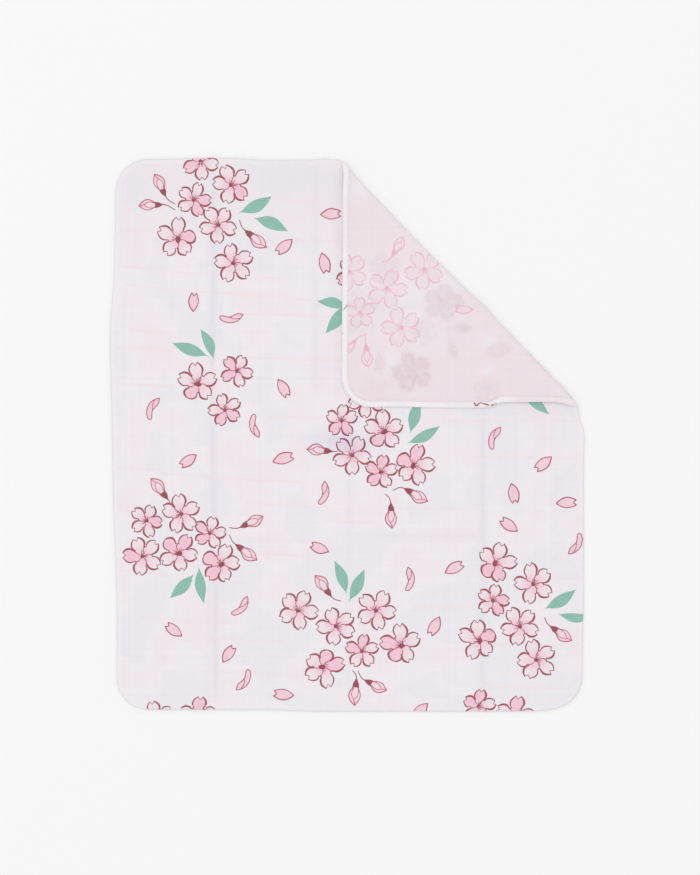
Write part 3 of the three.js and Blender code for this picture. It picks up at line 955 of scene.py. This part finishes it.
def refine(field, motifs):
    # adds the middle of every edge along which the print's outlines would be misjudged
    allowed = np.array([meshSteps["inkError"], meshSteps["dyeError"]])
    for _ in range(meshSteps["refineRounds"]):
        places, triangles = triangulate(field["points"])
        edges = np.unique(np.sort(triangles[:, [0, 1, 1, 2, 2, 0]].reshape(-1, 2), axis=1), axis=0)
        gaps = printGaps(places, motifs)
        middles = (places[edges[:, 0]] + places[edges[:, 1]]) / 2
        guess = (gaps[edges[:, 0]] + gaps[edges[:, 1]]) / 2
        true = printGaps(middles, motifs)
        near = np.minimum(np.abs(true), np.abs(guess)) < meshSteps["nearEdge"]
        wrong = (near & (np.abs(true - guess) > allowed)).any(axis=1)
        addPoints(field, inside(middles[wrong], meshSteps["refineIn"]), clear["refine"])
    return field


def gapToLine(points, line, half):
    # how far points are outside a stroke's inked band
    a, b = line[:-1], line[1:]
    run = b - a
    length = np.maximum((run ** 2).sum(axis=1), 1e-12)
    t = np.clip(((points[:, None] - a) * run).sum(axis=2) / length, 0, 1)
    near = a + t[:, :, None] * run
    gap = np.hypot(*np.moveaxis(points[:, None] - near, 2, 0)) - (half[:-1] + t * (half[1:] - half[:-1]))
    return gap.min(axis=1)


def gapToShape(points, rim):
    # how far points are outside a closed shape, negative inside it
    closed = np.vstack([rim, rim[:1]])
    gap = gapToLine(points, closed, np.zeros(len(closed)))
    a, b = closed[:-1], closed[1:]
    x, y = points[:, :1], points[:, 1:]
    spans = (a[:, 1] > y) != (b[:, 1] > y)
    rise = np.where(b[:, 1] == a[:, 1], 1, b[:, 1] - a[:, 1])
    crossing = x < (b[:, 0] - a[:, 0]) * (y - a[:, 1]) / rise + a[:, 0]
    return np.where((spans & crossing).sum(axis=1) % 2 == 1, -gap, gap)


def fieldPlace(shape, points):
    # along and across the shape, and a number that tells the petals apart
    off = points - shape["middle"]
    aside = off @ np.array([shape["axis"][1], -shape["axis"][0]])
    number = -1.0 if shape["kind"] == "leaf" else float(shape["seed"] % 97)
    return np.stack([off @ shape["axis"], aside, np.full(len(points), number)], axis=-1)


# How far each kind of petal goes from the pale dye to the pink one
dyeing = {
    "deepPetal": {"most": 0.86, "tipLess": 0.3, "sideLess": 0.12},
    "petal": {"most": 0.74, "tipLess": 0.66},
    "bud": {"least": 0.35, "tipMore": 0.45},
    "loose": {"middle": 0.65, "aheadMore": 0.2},
}


def fieldColour(shape, points):
    # the dye of a shape at each point: a petal is deepest near the blossom's middle and pale at its tip
    ahead, aside = (fieldPlace(shape, points)[:, :2] / shape["size"]).T
    if shape["kind"] == "leaf":
        return np.tile(dyes["leaf"], (len(points), 1))
    kind = "deepPetal" if shape["deep"] else shape["kind"]
    share = dyeing[kind]
    if kind == "deepPetal":
        strength = share["most"] - share["tipLess"] * smoothStep(ahead, 0.7, 1.05)
        strength = strength - share["sideLess"] * smoothStep(np.abs(aside), 0.15, 0.3)
    elif kind == "petal":
        strength = share["most"] - share["tipLess"] * smoothStep(ahead, 0.08, 0.8)
    elif kind == "bud":
        strength = share["least"] + share["tipMore"] * smoothStep(ahead, 0.5, 1)
    else:
        strength = share["middle"] + share["aheadMore"] * ahead
    strength = np.clip(strength, 0, 1)[:, None]
    return dyes["palePetal"] + (dyes["pinkPetal"] - dyes["palePetal"]) * strength


farGap = 1.6        # farther from a printed line or shape than this, its distance isn't worked out


def nearMotif(points, motif):
    return np.where(((points > motif["low"] - farGap) & (points < motif["high"] + farGap)).all(axis=1))[0]


def printOn(points, motifs):
    # ink and dye at each point: the gaps to the nearest shapes, their colours, and the place on a petal
    count = len(points)
    ink = {"gap": np.full(count, farGap), "colour": np.tile(inks["outline"], (count, 1))}
    dye = {"gap": np.full(count, farGap), "colour": np.tile(dyes["palePetal"], (count, 1)),
           "place": np.zeros((count, 3))}
    for motif in motifs:
        near = nearMotif(points, motif)
        if not len(near):
            continue
        at = points[near]
        shapes = [(gapToLine(at, line, half), name) for line, half, name in motif["strokes"]]
        shapes += [(gapToShape(at, rim), name) for rim, name in motif["blots"]]
        for gap, name in shapes:
            closer = gap < ink["gap"][near]
            ink["gap"][near[closer]] = gap[closer]
            ink["colour"][near[closer]] = inks[name]
        for shape in motif["fields"]:
            gap = gapToShape(at, shape["rim"])
            closer = gap < dye["gap"][near]
            dye["gap"][near[closer]] = gap[closer]
            dye["colour"][near[closer]] = fieldColour(shape, at[closer])
            dye["place"][near[closer]] = fieldPlace(shape, at[closer])
    return ink, dye


def printGaps(points, motifs):
    ink, dye = printOn(points, motifs)
    return np.stack([ink["gap"], dye["gap"]], axis=-1)


showThrough = {"lineShare": 0.34, "lineBlur": 0.8, "fieldShare": 0.46, "fieldBlur": 0.9}


def shadeOn(points, motifs):
    # the other side's print where it shows through, blurred by the cloth
    shown = np.zeros(len(points))
    for motif in motifs:
        near = nearMotif(points, motif)
        if len(near):
            inkGap, dyeGap = printGaps(points[near], [motif]).T
            lines = showThrough["lineShare"] * bell(np.maximum(inkGap, 0), showThrough["lineBlur"])
            blur = showThrough["fieldBlur"]
            fields = showThrough["fieldShare"] * (1 - smoothStep(dyeGap, -blur, blur))
            shown[near] = np.maximum(shown[near], motif["weight"] * (lines + fields))
    return shown


def mirroredOut(points):
    # the place outside the outline that lies on the turned edge at each point
    depth = depthInside(points[:, 0], points[:, 1])
    step = 0.01
    towardU = (depthInside(points[:, 0] + step, points[:, 1]) - depth) / step
    towardV = (depthInside(points[:, 0], points[:, 1] + step) - depth) / step
    return points - 2 * depth[:, None] * np.stack([towardU, towardV], axis=-1)


def backPrintOn(points):
    # the back's own print, and on the turned edge what the face's print carries round it
    ink, dye = printOn(points, backPrint)
    dye["colour"][:] = dyes["backPetal"]
    turned = np.where(depthInside(points[:, 0], points[:, 1]) < hem["width"] + 0.2)[0]
    carried = printOn(mirroredOut(points[turned]), facePrint)
    own = printOn(points[turned], hemPrint)
    for target, first, second in zip((ink, dye), carried, own):
        closer = first["gap"] < second["gap"]
        target["gap"][turned] = np.where(closer, first["gap"], second["gap"])
        target["colour"][turned] = np.where(closer[:, None], first["colour"], second["colour"])
    return ink, dye


# painted shade along each crease, as strong as the crease is high
def paintedShade(points):
    u, v = points[:, 0], points[:, 1]
    tint = np.zeros(len(points))
    for crease in creases:
        off, run = creaseOff(crease, u, v)
        tint = np.maximum(tint, crease["height"] * bell(off, creaseShadeHalf) * creaseEnds(crease, run))
    return tint


def faceTintsAndShade(points):
    # slub, stain, and painted shade along the creases and in the soft bands, each from 0 to 1
    u, v = points[:, 0], points[:, 1]
    slub, crease = np.zeros(len(points)), paintedShade(points)
    for line in slubLines:
        near = np.where(((points > line.min(axis=0) - 3) & (points < line.max(axis=0) + 3)).all(axis=1))[0]
        if len(near):
            gap = gapToLine(points[near], line, np.zeros(len(line)))
            slub[near] = np.maximum(slub[near], np.clip(1 - gap / (slubHalf + 0.15), 0, 1))
    # painted shade in the soft bands
    for line, half, strength in paintedShadeLines:
        gap = gapToLine(points, line, np.zeros(len(line)))
        crease = np.maximum(crease, strength * bell(gap, half))
    halfU, halfV = (half * photo["pixel"] for half in stain["half"])
    stained = np.exp(-((u - stainAt[0]) / halfU) ** 2 - ((v - stainAt[1]) / halfV) ** 2)
    return np.stack([slub, stained, crease], axis=-1)


def backTintsAndShade(points):
    # cool patches, leaves that show through, and painted shade along the creases and the folded edge
    cool = np.zeros(len(points))
    for middle, (_, half) in zip(coolMiddles, coolPatches):
        off = (points - middle) / (np.array(half[::-1]) * photo["pixel"])
        cool = np.maximum(cool, np.exp(-(off ** 2).sum(axis=1)))
    s = across(*pulled(points[:, 0], points[:, 1]))
    # painted shade: a darker line along the folded edge, where the cloth turns down
    foldShade = bell(s - fold["start"] - loopLength / 2, foldShadeHalf)
    crease = np.maximum(0.5 * paintedShade(points), foldShade)
    return np.stack([cool, shadeOn(points, throughLeaves), crease], axis=-1)


def buildCloth():
    print("laying out the cloth")
    faceField = clothPoints(facePrint, meshSteps["faceFill"], None, True)
    backField = clothPoints(backPrint + hemPrint, meshSteps["backFill"], meshSteps["flapFill"], False)
    facePlaces, faceTriangles = triangulate(refine(faceField, facePrint)["points"])
    backPlaces, backTriangles = triangulate(refine(backField, backPrint + hemPrint)["points"])
    print("cloth:", len(faceTriangles), "triangles on the face,", len(backTriangles), "on the back")

    # both sides meet in the same points round the outline
    rimDepth = 0.001
    onRim = {tuple(np.round(place, 3)): i for i, place in enumerate(facePlaces)
             if depthInside(*place) < rimDepth}
    own = np.array([tuple(np.round(place, 3)) not in onRim for place in backPlaces])
    backIndex = np.where(own, len(facePlaces) + np.cumsum(own) - 1, 0)
    for i in np.where(~own)[0]:
        backIndex[i] = onRim[tuple(np.round(backPlaces[i], 3))]
    places = np.vstack([facePlaces, backPlaces[own]])
    side = np.where(np.arange(len(places)) < len(facePlaces), 1, -1)
    u, v = places[:, 0], places[:, 1]
    out = np.where(side > 0, surfaceOut(u, v, 1), surfaceOut(u, v, -1))
    laid = layAt(u, v, out)
    laid[:, :2] -= laidMiddle
    triangles = np.vstack([faceTriangles, backIndex[backTriangles][:, ::-1]])

    mesh = bpy.data.meshes.new("handkerchief")
    mesh.from_pydata((laid * millimetre).tolist(), [], triangles.tolist())
    mesh.polygons.foreach_set("use_smooth", [True] * len(triangles))
    mesh.polygons.foreach_set("material_index", [0] * len(faceTriangles) + [1] * len(backTriangles))

    isFace = side > 0
    face, back = places[isFace], places[~isFace]
    prints = [printOn(face, facePrint), backPrintOn(back)]
    shown = np.concatenate([np.zeros(len(face)), shadeOn(back, facePrint + throughPrint)])

    def addNumber(name, values):
        mesh.attributes.new(name, "FLOAT", "POINT").data.foreach_set("value", values.astype(np.float32))

    def addVector(name, values):
        flat = values.astype(np.float32).ravel()
        mesh.attributes.new(name, "FLOAT_VECTOR", "POINT").data.foreach_set("vector", flat)

    addVector("cutPlace", np.stack([u, v, depthInside(u, v)], axis=-1))
    addVector("clothTintsAndShade", np.vstack([faceTintsAndShade(face), backTintsAndShade(back)]))
    addVector("petalPlace", np.vstack([dye["place"] for _, dye in prints]))
    addVector("inkColour", np.vstack([ink["colour"] for ink, _ in prints]))
    addVector("dyeColour", np.vstack([dye["colour"] for _, dye in prints]))
    addNumber("inkGap", np.concatenate([ink["gap"] for ink, _ in prints]))
    addNumber("dyeGap", np.concatenate([dye["gap"] for _, dye in prints]))
    addNumber("shownThrough", shown)
    mesh.update()
    cloth = bpy.data.objects.new("handkerchief", mesh)
    bpy.context.scene.collection.objects.link(cloth)
    return cloth


cloth = buildCloth()

# thread is its radius. It lies sunk radii lower than resting on the cloth, and its ends dive in
stitches = {
    "length": 2.1, "pitch": 2.75, "thread": 0.12, "sides": 6, "rings": 5, "sunk": 0.75, "dive": 0.2,
}


def buildStitches():
    print("sewing the hem")
    ring = np.array(ringPoints(hem["stitchLine"], 0.5))
    closed = np.vstack([ring, ring[:1]])
    lengths = np.concatenate([[0], np.cumsum(np.hypot(*np.diff(closed, axis=0).T))])
    count = round(lengths[-1] / stitches["pitch"])
    starts = np.arange(count) * lengths[-1] / count
    sides, rings = stitches["sides"], stitches["rings"]
    vertices, faces = [], []
    for side in (1, -1):
        shift = 0 if side > 0 else 0.5 * stitches["pitch"]
        for start in starts:
            at = (start + shift + stitches["length"] * np.linspace(0, 1, rings)) % lengths[-1]
            u, v = np.interp(at, lengths, closed[:, 0]), np.interp(at, lengths, closed[:, 1])
            surface = surfaceOut(u, v, side)
            middle = layAt(u, v, surface + side * stitches["thread"] * (1 - stitches["sunk"]))
            outward = layAt(u, v, surface + side) - middle
            outward /= np.linalg.norm(outward, axis=1)[:, None]
            run = np.gradient(middle, axis=0)
            run /= np.linalg.norm(run, axis=1)[:, None]
            aside = np.cross(run, outward)
            # the thread dives into the cloth at both ends
            share = np.linspace(-1, 1, rings)
            girth = stitches["thread"] * np.sqrt(np.maximum(0.12, 1 - share ** 4))
            middle = middle - outward * (stitches["dive"] * share ** 4)[:, None]
            base = len(vertices)
            for i in range(rings):
                for k in range(sides):
                    angle = 2 * math.pi * k / sides
                    off = aside[i] * math.cos(angle) + outward[i] * math.sin(angle)
                    vertices.append(middle[i] + girth[i] * off)
            for i in range(rings - 1):
                for k in range(sides):
                    a, b = base + i * sides + k, base + i * sides + (k + 1) % sides
                    faces.append((a, b, b + sides, a + sides))
            last = base + (rings - 1) * sides
            faces.append(tuple(base + k for k in reversed(range(sides))))
            faces.append(tuple(last + k for k in range(sides)))
    vertices = np.array(vertices)
    vertices[:, :2] -= laidMiddle
    mesh = bpy.data.meshes.new("hemStitches")
    mesh.from_pydata((vertices * millimetre).tolist(), [], faces)
    mesh.polygons.foreach_set("use_smooth", [True] * len(faces))
    mesh.update()
    thread = bpy.data.objects.new("hemStitches", mesh)
    bpy.context.scene.collection.objects.link(thread)
    return thread


hemStitches = buildStitches()


def settle(pieces):
    # the lowest thread or fold of the cloth touches the surface
    low = min(vertex.co.z for piece in pieces for vertex in piece.data.vertices)
    for piece in pieces:
        piece.data.transform(Matrix.Translation((0, 0, -low)))


settle([cloth, hemStitches])

clothLook = {
    "threadPitch": 0.5,
    "faceTint": (239, 234, 238), "faceTintWarm": (240, 231, 236), "faceTintCool": (235, 232, 238),
    "backTint": (238, 225, 229), "backTintCool": (236, 225, 231),
    # the crease, edge and top tints are painted shade colours
    "slubTint": (244, 223, 226), "stainTint": (210, 208, 236), "paintedShade": (219, 212, 222),
    "shadeTint": (210, 182, 192), "patchTint": (238, 233, 241), "edgeShadeTint": (192, 186, 193),
    "leafShadeTint": (204, 212, 209), "hemTint": (244, 239, 243), "topShadeTint": (232, 225, 230),
    "threadTint": (231, 225, 231), "threadTintPale": (243, 239, 243),
    # the crease and edge shares set how strong the painted shade is
    "slubShare": 0.75, "paintedShadeShare": 0.6, "stainShare": 0.36, "patchShare": 0.75,
    "hemShare": 0.35, "edgeShadeShare": 0.35, "backEdgeShadeShare": 0.1,
    "topFrom": 95, "topTo": 165, "topShadeShare": 0.4,       # painted shade: the cloth is greyer towards its top edge
    "roughness": 0.92, "specular": 0.25, "sheen": 0.1, "sheenRoughness": 0.5,
    "weaveRelief": 0.35, "weaveDepth": 0.12,
}
# How the colours take: softness of their edge, raggedness of it, and strength
printLook = {
    "faceDye": (0.14, 0.2, 0.95),
    "faceInk": (0.15, 0.3, 0.95),
    "backDye": (0.3, 0.3, 0.6),
    "backInk": (0.22, 0.5, 0.62),
}


def tint(name):
    return (*colour(*clothLook[name]), 1)


class nodeBench:
    # short ways to place and join nodes in one tree
    def __init__(self, tree):
        self.tree = tree

    def add(self, kind, **settings):
        node = self.tree.nodes.new(kind)
        for name, value in settings.items():
            setattr(node, name, value)
        return node

    def put(self, socket, value):
        if isinstance(value, bpy.types.NodeSocket):
            self.tree.links.new(value, socket)
        else:
            socket.default_value = value

    def math(self, operation, *values):
        node = self.add("ShaderNodeMath", operation=operation)
        for socket, value in zip(node.inputs, values):
            self.put(socket, value)
        return node.outputs[0]

    def mix(self, share, first, second, blend="MIX"):
        node = self.add("ShaderNodeMix", data_type="RGBA", blend_type=blend)
        self.put(node.inputs["Factor"], share)
        self.put(node.inputs["A"], first)
        self.put(node.inputs["B"], second)
        return node.outputs["Result"]

    def ramp(self, value, low, high, toLow=0.0, toHigh=1.0, smooth=True):
        kind = "SMOOTHSTEP" if smooth else "LINEAR"
        node = self.add("ShaderNodeMapRange", interpolation_type=kind)
        for name, amount in (("Value", value), ("From Min", low), ("From Max", high),
                             ("To Min", toLow), ("To Max", toHigh)):
            self.put(node.inputs[name], amount)
        return node.outputs["Result"]

    def attribute(self, name, output):
        node = self.add("ShaderNodeAttribute", attribute_type="GEOMETRY", attribute_name=name)
        return node.outputs[output]

    def split(self, vector):
        node = self.add("ShaderNodeSeparateXYZ")
        self.put(node.inputs[0], vector)
        return node.outputs

    def noise(self, value, scale, dimensions="1D", detail=2.0):
        node = self.add("ShaderNodeTexNoise", noise_dimensions=dimensions)
        self.put(node.inputs["W" if dimensions == "1D" else "Vector"], value)
        node.inputs["Scale"].default_value = scale
        node.inputs["Detail"].default_value = detail
        return node.outputs["Fac"]

    def group(self, tree, **values):
        node = self.add("ShaderNodeGroup", node_tree=tree)
        for name, value in values.items():
            self.put(node.inputs[name], value)
        return node.outputs


def newGroup(name, inputs, outputs):
    tree = bpy.data.node_groups.new(name, "ShaderNodeTree")
    for socket, kind in inputs:
        tree.interface.new_socket(name=socket, in_out="INPUT", socket_type=kind)
    for socket, kind in outputs:
        tree.interface.new_socket(name=socket, in_out="OUTPUT", socket_type=kind)
    bench = nodeBench(tree)
    return tree, bench, bench.add("NodeGroupInput").outputs, bench.add("NodeGroupOutput").inputs


def makeWeave():
    # a plain weave of uneven threads: its relief, and the faint plaid that uneven threads give
    tree, bench, given, result = newGroup(
        "gauzeWeave",
        [("Place", "NodeSocketVector"), ("Pitch", "NodeSocketFloat")],
        [("Relief", "NodeSocketFloat"), ("Plaid", "NodeSocketFloat")])
    u, v, _ = bench.split(given["Place"])
    waver = bench.noise(given["Place"], 0.09, "3D")
    wavered = bench.math("MULTIPLY", bench.math("SUBTRACT", waver, 0.5), 2.4)
    threads = []
    plaids = []
    for axis, other in ((u, v), (v, u)):
        threads.append(bench.math("DIVIDE", bench.math("ADD", axis, wavered), given["Pitch"]))
        bands = bench.noise(axis, 0.42, detail=3.0)
        sway = bench.noise(bench.math("ADD", axis, bench.math("MULTIPLY", other, 0.004)), 1.6, detail=1.0)
        plaids.append(bench.math("ADD", bands, bench.math("MULTIPLY", sway, 0.7)))
    over = bench.math("MULTIPLY", bench.math("COSINE", bench.math("MULTIPLY", threads[0], math.pi)),
                      bench.math("COSINE", bench.math("MULTIPLY", threads[1], math.pi)))
    heights = []
    for count, sign in zip(threads, (0.4, -0.4)):
        wave = bench.math("COSINE", bench.math("MULTIPLY", count, 2 * math.pi))
        body = bench.math("MULTIPLY_ADD", wave, 0.5, 0.5)
        heights.append(bench.math("MULTIPLY", body, bench.math("MULTIPLY_ADD", over, sign, 0.6)))
    relief = bench.math("MAXIMUM", *heights)
    fuzz = bench.noise(given["Place"], 5.0, "3D", 3.0)
    bench.put(result["Relief"], bench.math("ADD", relief, bench.math("MULTIPLY", fuzz, 0.35)))
    bench.put(result["Plaid"], bench.math("SUBTRACT", bench.math("ADD", *plaids), 1.7))
    return tree


def makePrintEdge():
    # 1 where the cloth took the colour: inside the gap, with an edge that the threads break up
    tree, bench, given, result = newGroup(
        "printEdge",
        [("Gap", "NodeSocketFloat"), ("Place", "NodeSocketVector"), ("Softness", "NodeSocketFloat"),
         ("Ragged", "NodeSocketFloat")],
        [("Mask", "NodeSocketFloat")])
    ragged = bench.math("SUBTRACT", bench.noise(given["Place"], 1.9, "3D", 2.0), 0.5)
    gap = bench.math("MULTIPLY_ADD", ragged, given["Ragged"], given["Gap"])
    low = bench.math("MULTIPLY", given["Softness"], -1.0)
    bench.put(result["Mask"], bench.ramp(gap, low, given["Softness"], 1.0, 0.0))
    return tree


weave = makeWeave()
printEdge = makePrintEdge()


def newMaterial(name):
    material = bpy.data.materials.new(name)
    material.use_nodes = True
    material.node_tree.nodes.clear()
    bench = nodeBench(material.node_tree)
    shader = bench.add("ShaderNodeBsdfPrincipled")
    shader.inputs["Roughness"].default_value = clothLook["roughness"]
    shader.inputs["Specular IOR Level"].default_value = clothLook["specular"]
    shader.inputs["Sheen Weight"].default_value = clothLook["sheen"]
    shader.inputs["Sheen Roughness"].default_value = clothLook["sheenRoughness"]
    output = bench.add("ShaderNodeOutputMaterial")
    bench.put(output.inputs["Surface"], shader.outputs[0])
    return material, bench, shader


def addRelief(bench, shader, woven):
    bump = bench.add("ShaderNodeBump")
    bump.inputs["Strength"].default_value = clothLook["weaveRelief"]
    bump.inputs["Distance"].default_value = clothLook["weaveDepth"] * millimetre
    bench.put(bump.inputs["Height"], woven["Relief"])
    bench.put(shader.inputs["Normal"], bump.outputs[0])


def groundColour(bench, cutPlace, woven, main, cool, warm):
    # the undyed cloth: patches of warmer and cooler white, and the plaid of its threads
    patches = bench.noise(cutPlace, 0.028, "3D", 3.0)
    ground = bench.mix(bench.ramp(patches, 0.40, 0.52), cool, main)
    ground = bench.mix(bench.ramp(patches, 0.50, 0.64), ground, warm)
    lift = bench.ramp(woven["Plaid"], -0.45, 0.45, 0.98, 1.012, smooth=False)
    return bench.mix(1.0, ground, bench.math("MINIMUM", lift, 1.05), "MULTIPLY")


def printMask(bench, cutPlace, gap, softness, ragged, strength):
    mask = bench.group(printEdge, Gap=bench.attribute(gap, "Fac"), Place=cutPlace,
                       Softness=softness, Ragged=ragged)["Mask"]
    return bench.math("MULTIPLY", mask, strength)


def inkOver(bench, base, cutPlace, softness, ragged, strength):
    mask = printMask(bench, cutPlace, "inkGap", softness, ragged, strength)
    return bench.mix(mask, base, bench.attribute("inkColour", "Color"))


def dyeOver(bench, base, cutPlace, softness, ragged, strength):
    # the dye lies in fine streaks along each petal, and hardly so on a leaf
    ahead, aside, seed = bench.split(bench.attribute("petalPlace", "Vector"))
    streakPlace = bench.add("ShaderNodeCombineXYZ")
    bench.put(streakPlace.inputs[0], bench.math("MULTIPLY", ahead, 0.22))
    bench.put(streakPlace.inputs[1], bench.math("MULTIPLY", aside, 1.5))
    bench.put(streakPlace.inputs[2], bench.math("MULTIPLY", seed, 3.7))
    most = bench.ramp(seed, -1.0, 0.0, 0.12, 0.42)
    streak = bench.ramp(bench.noise(streakPlace.outputs[0], 1.0, "3D", 3.0), 0.36, 0.66, 0.0, most)
    dye = bench.mix(streak, bench.attribute("dyeColour", "Color"), (*dyes["palePetal"], 1))
    mask = printMask(bench, cutPlace, "dyeGap", softness, ragged, strength)
    return bench.mix(mask, base, dye)


def edgeShadeOver(bench, base, cutPlace, strength):
    # painted shade along the very edge: it is made greyer there
    depth = bench.split(cutPlace)[2]
    return bench.mix(bench.ramp(depth, 0.5, 0.05, 0.0, strength), base, tint("edgeShadeTint"))


def makeFaceMaterial():
    material, bench, shader = newMaterial("printedGauze")
    cutPlace = bench.attribute("cutPlace", "Vector")
    woven = bench.group(weave, Place=cutPlace, Pitch=clothLook["threadPitch"])
    base = groundColour(bench, cutPlace, woven, tint("faceTint"), tint("faceTintCool"), tint("faceTintWarm"))
    _, v, depth = bench.split(cutPlace)
    # painted shade towards the top edge
    topShade = bench.ramp(v, clothLook["topFrom"], clothLook["topTo"], 0.0, clothLook["topShadeShare"])
    base = bench.mix(topShade, base, tint("topShadeTint"))
    onHem = bench.ramp(depth, hem["width"], hem["width"] - 0.4, 0.0, clothLook["hemShare"])
    base = bench.mix(onHem, base, tint("hemTint"))
    slub, stained, crease = bench.split(bench.attribute("clothTintsAndShade", "Vector"))
    base = bench.mix(bench.math("MULTIPLY", slub, clothLook["slubShare"]), base, tint("slubTint"))
    # painted shade along the creases and in the soft bands
    base = bench.mix(bench.math("MULTIPLY", crease, clothLook["paintedShadeShare"]), base, tint("paintedShade"))
    base = dyeOver(bench, base, cutPlace, *printLook["faceDye"])
    base = inkOver(bench, base, cutPlace, *printLook["faceInk"])
    stainShare = bench.math("MULTIPLY", stained, clothLook["stainShare"])
    base = bench.mix(stainShare, base, tint("stainTint"), "MULTIPLY")
    # painted shade along the very edge
    base = edgeShadeOver(bench, base, cutPlace, clothLook["edgeShadeShare"])
    bench.put(shader.inputs["Base Color"], base)
    addRelief(bench, shader, woven)
    return material


def makeBackMaterial():
    material, bench, shader = newMaterial("gauzeBack")
    cutPlace = bench.attribute("cutPlace", "Vector")
    woven = bench.group(weave, Place=cutPlace, Pitch=clothLook["threadPitch"])
    base = groundColour(bench, cutPlace, woven, tint("backTint"), tint("backTintCool"), tint("backTint"))
    cool, leafShown, crease = bench.split(bench.attribute("clothTintsAndShade", "Vector"))
    base = bench.mix(bench.math("MULTIPLY", cool, clothLook["patchShare"]), base, tint("patchTint"))
    base = dyeOver(bench, base, cutPlace, *printLook["backDye"])
    blotches = bench.ramp(bench.noise(cutPlace, 0.32, "3D", 3.0), 0.35, 0.65, 0.45, 0.72)
    shown = bench.math("MULTIPLY", bench.attribute("shownThrough", "Fac"), blotches)
    base = bench.mix(shown, base, tint("shadeTint"))
    base = bench.mix(bench.math("MULTIPLY", leafShown, blotches), base, tint("leafShadeTint"))
    base = inkOver(bench, base, cutPlace, *printLook["backInk"])
    # the turned edge is the face's own cloth, and fades into the back towards the fold's lower end
    _, v, depth = bench.split(cutPlace)
    turned = bench.ramp(depth, hem["width"] + 0.12, hem["width"] - 0.02, 0.0, 1.0)
    turned = bench.math("MULTIPLY", turned, bench.ramp(v, 57, 66, 0.2, 1.0))
    turnedBase = groundColour(bench, cutPlace, woven, tint("hemTint"), tint("faceTint"), tint("hemTint"))
    turnedBase = dyeOver(bench, turnedBase, cutPlace, *printLook["faceDye"])
    turnedBase = inkOver(bench, turnedBase, cutPlace, *printLook["faceInk"])
    base = bench.mix(turned, base, turnedBase)
    # painted shade along the creases and the folded edge
    base = bench.mix(bench.math("MULTIPLY", crease, clothLook["paintedShadeShare"]), base, tint("paintedShade"))
    # a little painted shade along the very edge
    base = edgeShadeOver(bench, base, cutPlace, clothLook["backEdgeShadeShare"])
    bench.put(shader.inputs["Base Color"], base)
    addRelief(bench, shader, woven)
    return material


def makeThreadMaterial():
    material, bench, shader = newMaterial("sewingThread")
    place = bench.add("ShaderNodeTexCoord").outputs["Object"]
    twist = bench.noise(place, 3500.0, "3D", 1.0)
    base = bench.mix(bench.ramp(twist, 0.35, 0.65), tint("threadTint"), tint("threadTintPale"))
    bench.put(shader.inputs["Base Color"], base)
    return material


print("dyeing the cloth")
cloth.data.materials.append(makeFaceMaterial())
cloth.data.materials.append(makeBackMaterial())
hemStitches.data.materials.append(makeThreadMaterial())

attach(cloth, "root")
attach(hemStitches, "root")
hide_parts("cloth")

studio = {
    "floorSize": 6,
    "floorTint": (247, 247, 247),
    "floorRoughness": 0.9,
    "floorSpecular": 0.1,
    "skyStrength": 0.955,
    "lampStrength": 5.0,
    "lampSize": 2.2,
    "lampAt": (-1.1, 0.9, 2.2),
    "lens": 85,
    "sensor": 36,
}


def makeStudio():
    half = studio["floorSize"] / 2
    mesh = bpy.data.meshes.new("floor")
    corners = [(-half, -half, 0), (half, -half, 0), (half, half, 0), (-half, half, 0)]
    mesh.from_pydata(corners, [], [(0, 1, 2, 3)])
    floor = bpy.data.objects.new("floor", mesh)
    bpy.context.scene.collection.objects.link(floor)
    material = bpy.data.materials.new("floorPaper")
    material.use_nodes = True
    shader = material.node_tree.nodes["Principled BSDF"]
    shader.inputs["Base Color"].default_value = (*colour(*studio["floorTint"]), 1)
    shader.inputs["Roughness"].default_value = studio["floorRoughness"]
    shader.inputs["Specular IOR Level"].default_value = studio["floorSpecular"]
    mesh.materials.append(material)

    world = bpy.data.worlds.new("softSky")
    world.use_nodes = True
    sky = world.node_tree.nodes["Background"]
    sky.inputs["Color"].default_value = (1, 1, 1, 1)
    sky.inputs["Strength"].default_value = studio["skyStrength"]
    bpy.context.scene.world = world

    lamp = bpy.data.lights.new("softBox", "AREA")
    lamp.size = studio["lampSize"]
    lamp.energy = studio["lampStrength"]
    lampObject = bpy.data.objects.new("softBox", lamp)
    lampObject.location = studio["lampAt"]
    lampObject.rotation_euler = Vector(studio["lampAt"]).to_track_quat("Z", "Y").to_euler()
    bpy.context.scene.collection.objects.link(lampObject)


def makeCamera():
    # straight above, far enough for the photo's height to fill the frame
    width, height = photo["size"]
    middleX, middleY = photo["middle"]
    camera = bpy.data.cameras.new("camera")
    camera.lens = studio["lens"]
    camera.sensor_width = studio["sensor"]
    distance = height * photo["pixel"] * studio["lens"] / studio["sensor"]
    cameraObject = bpy.data.objects.new("camera", camera)
    x, y = (width / 2 - middleX) * photo["pixel"], (middleY - height / 2) * photo["pixel"]
    cameraObject.location = (x * millimetre, y * millimetre, distance * millimetre)
    bpy.context.scene.collection.objects.link(cameraObject)
    bpy.context.scene.camera = cameraObject
    bpy.context.scene.view_settings.view_transform = "Standard"


print("setting up the studio")
makeStudio()
makeCamera()
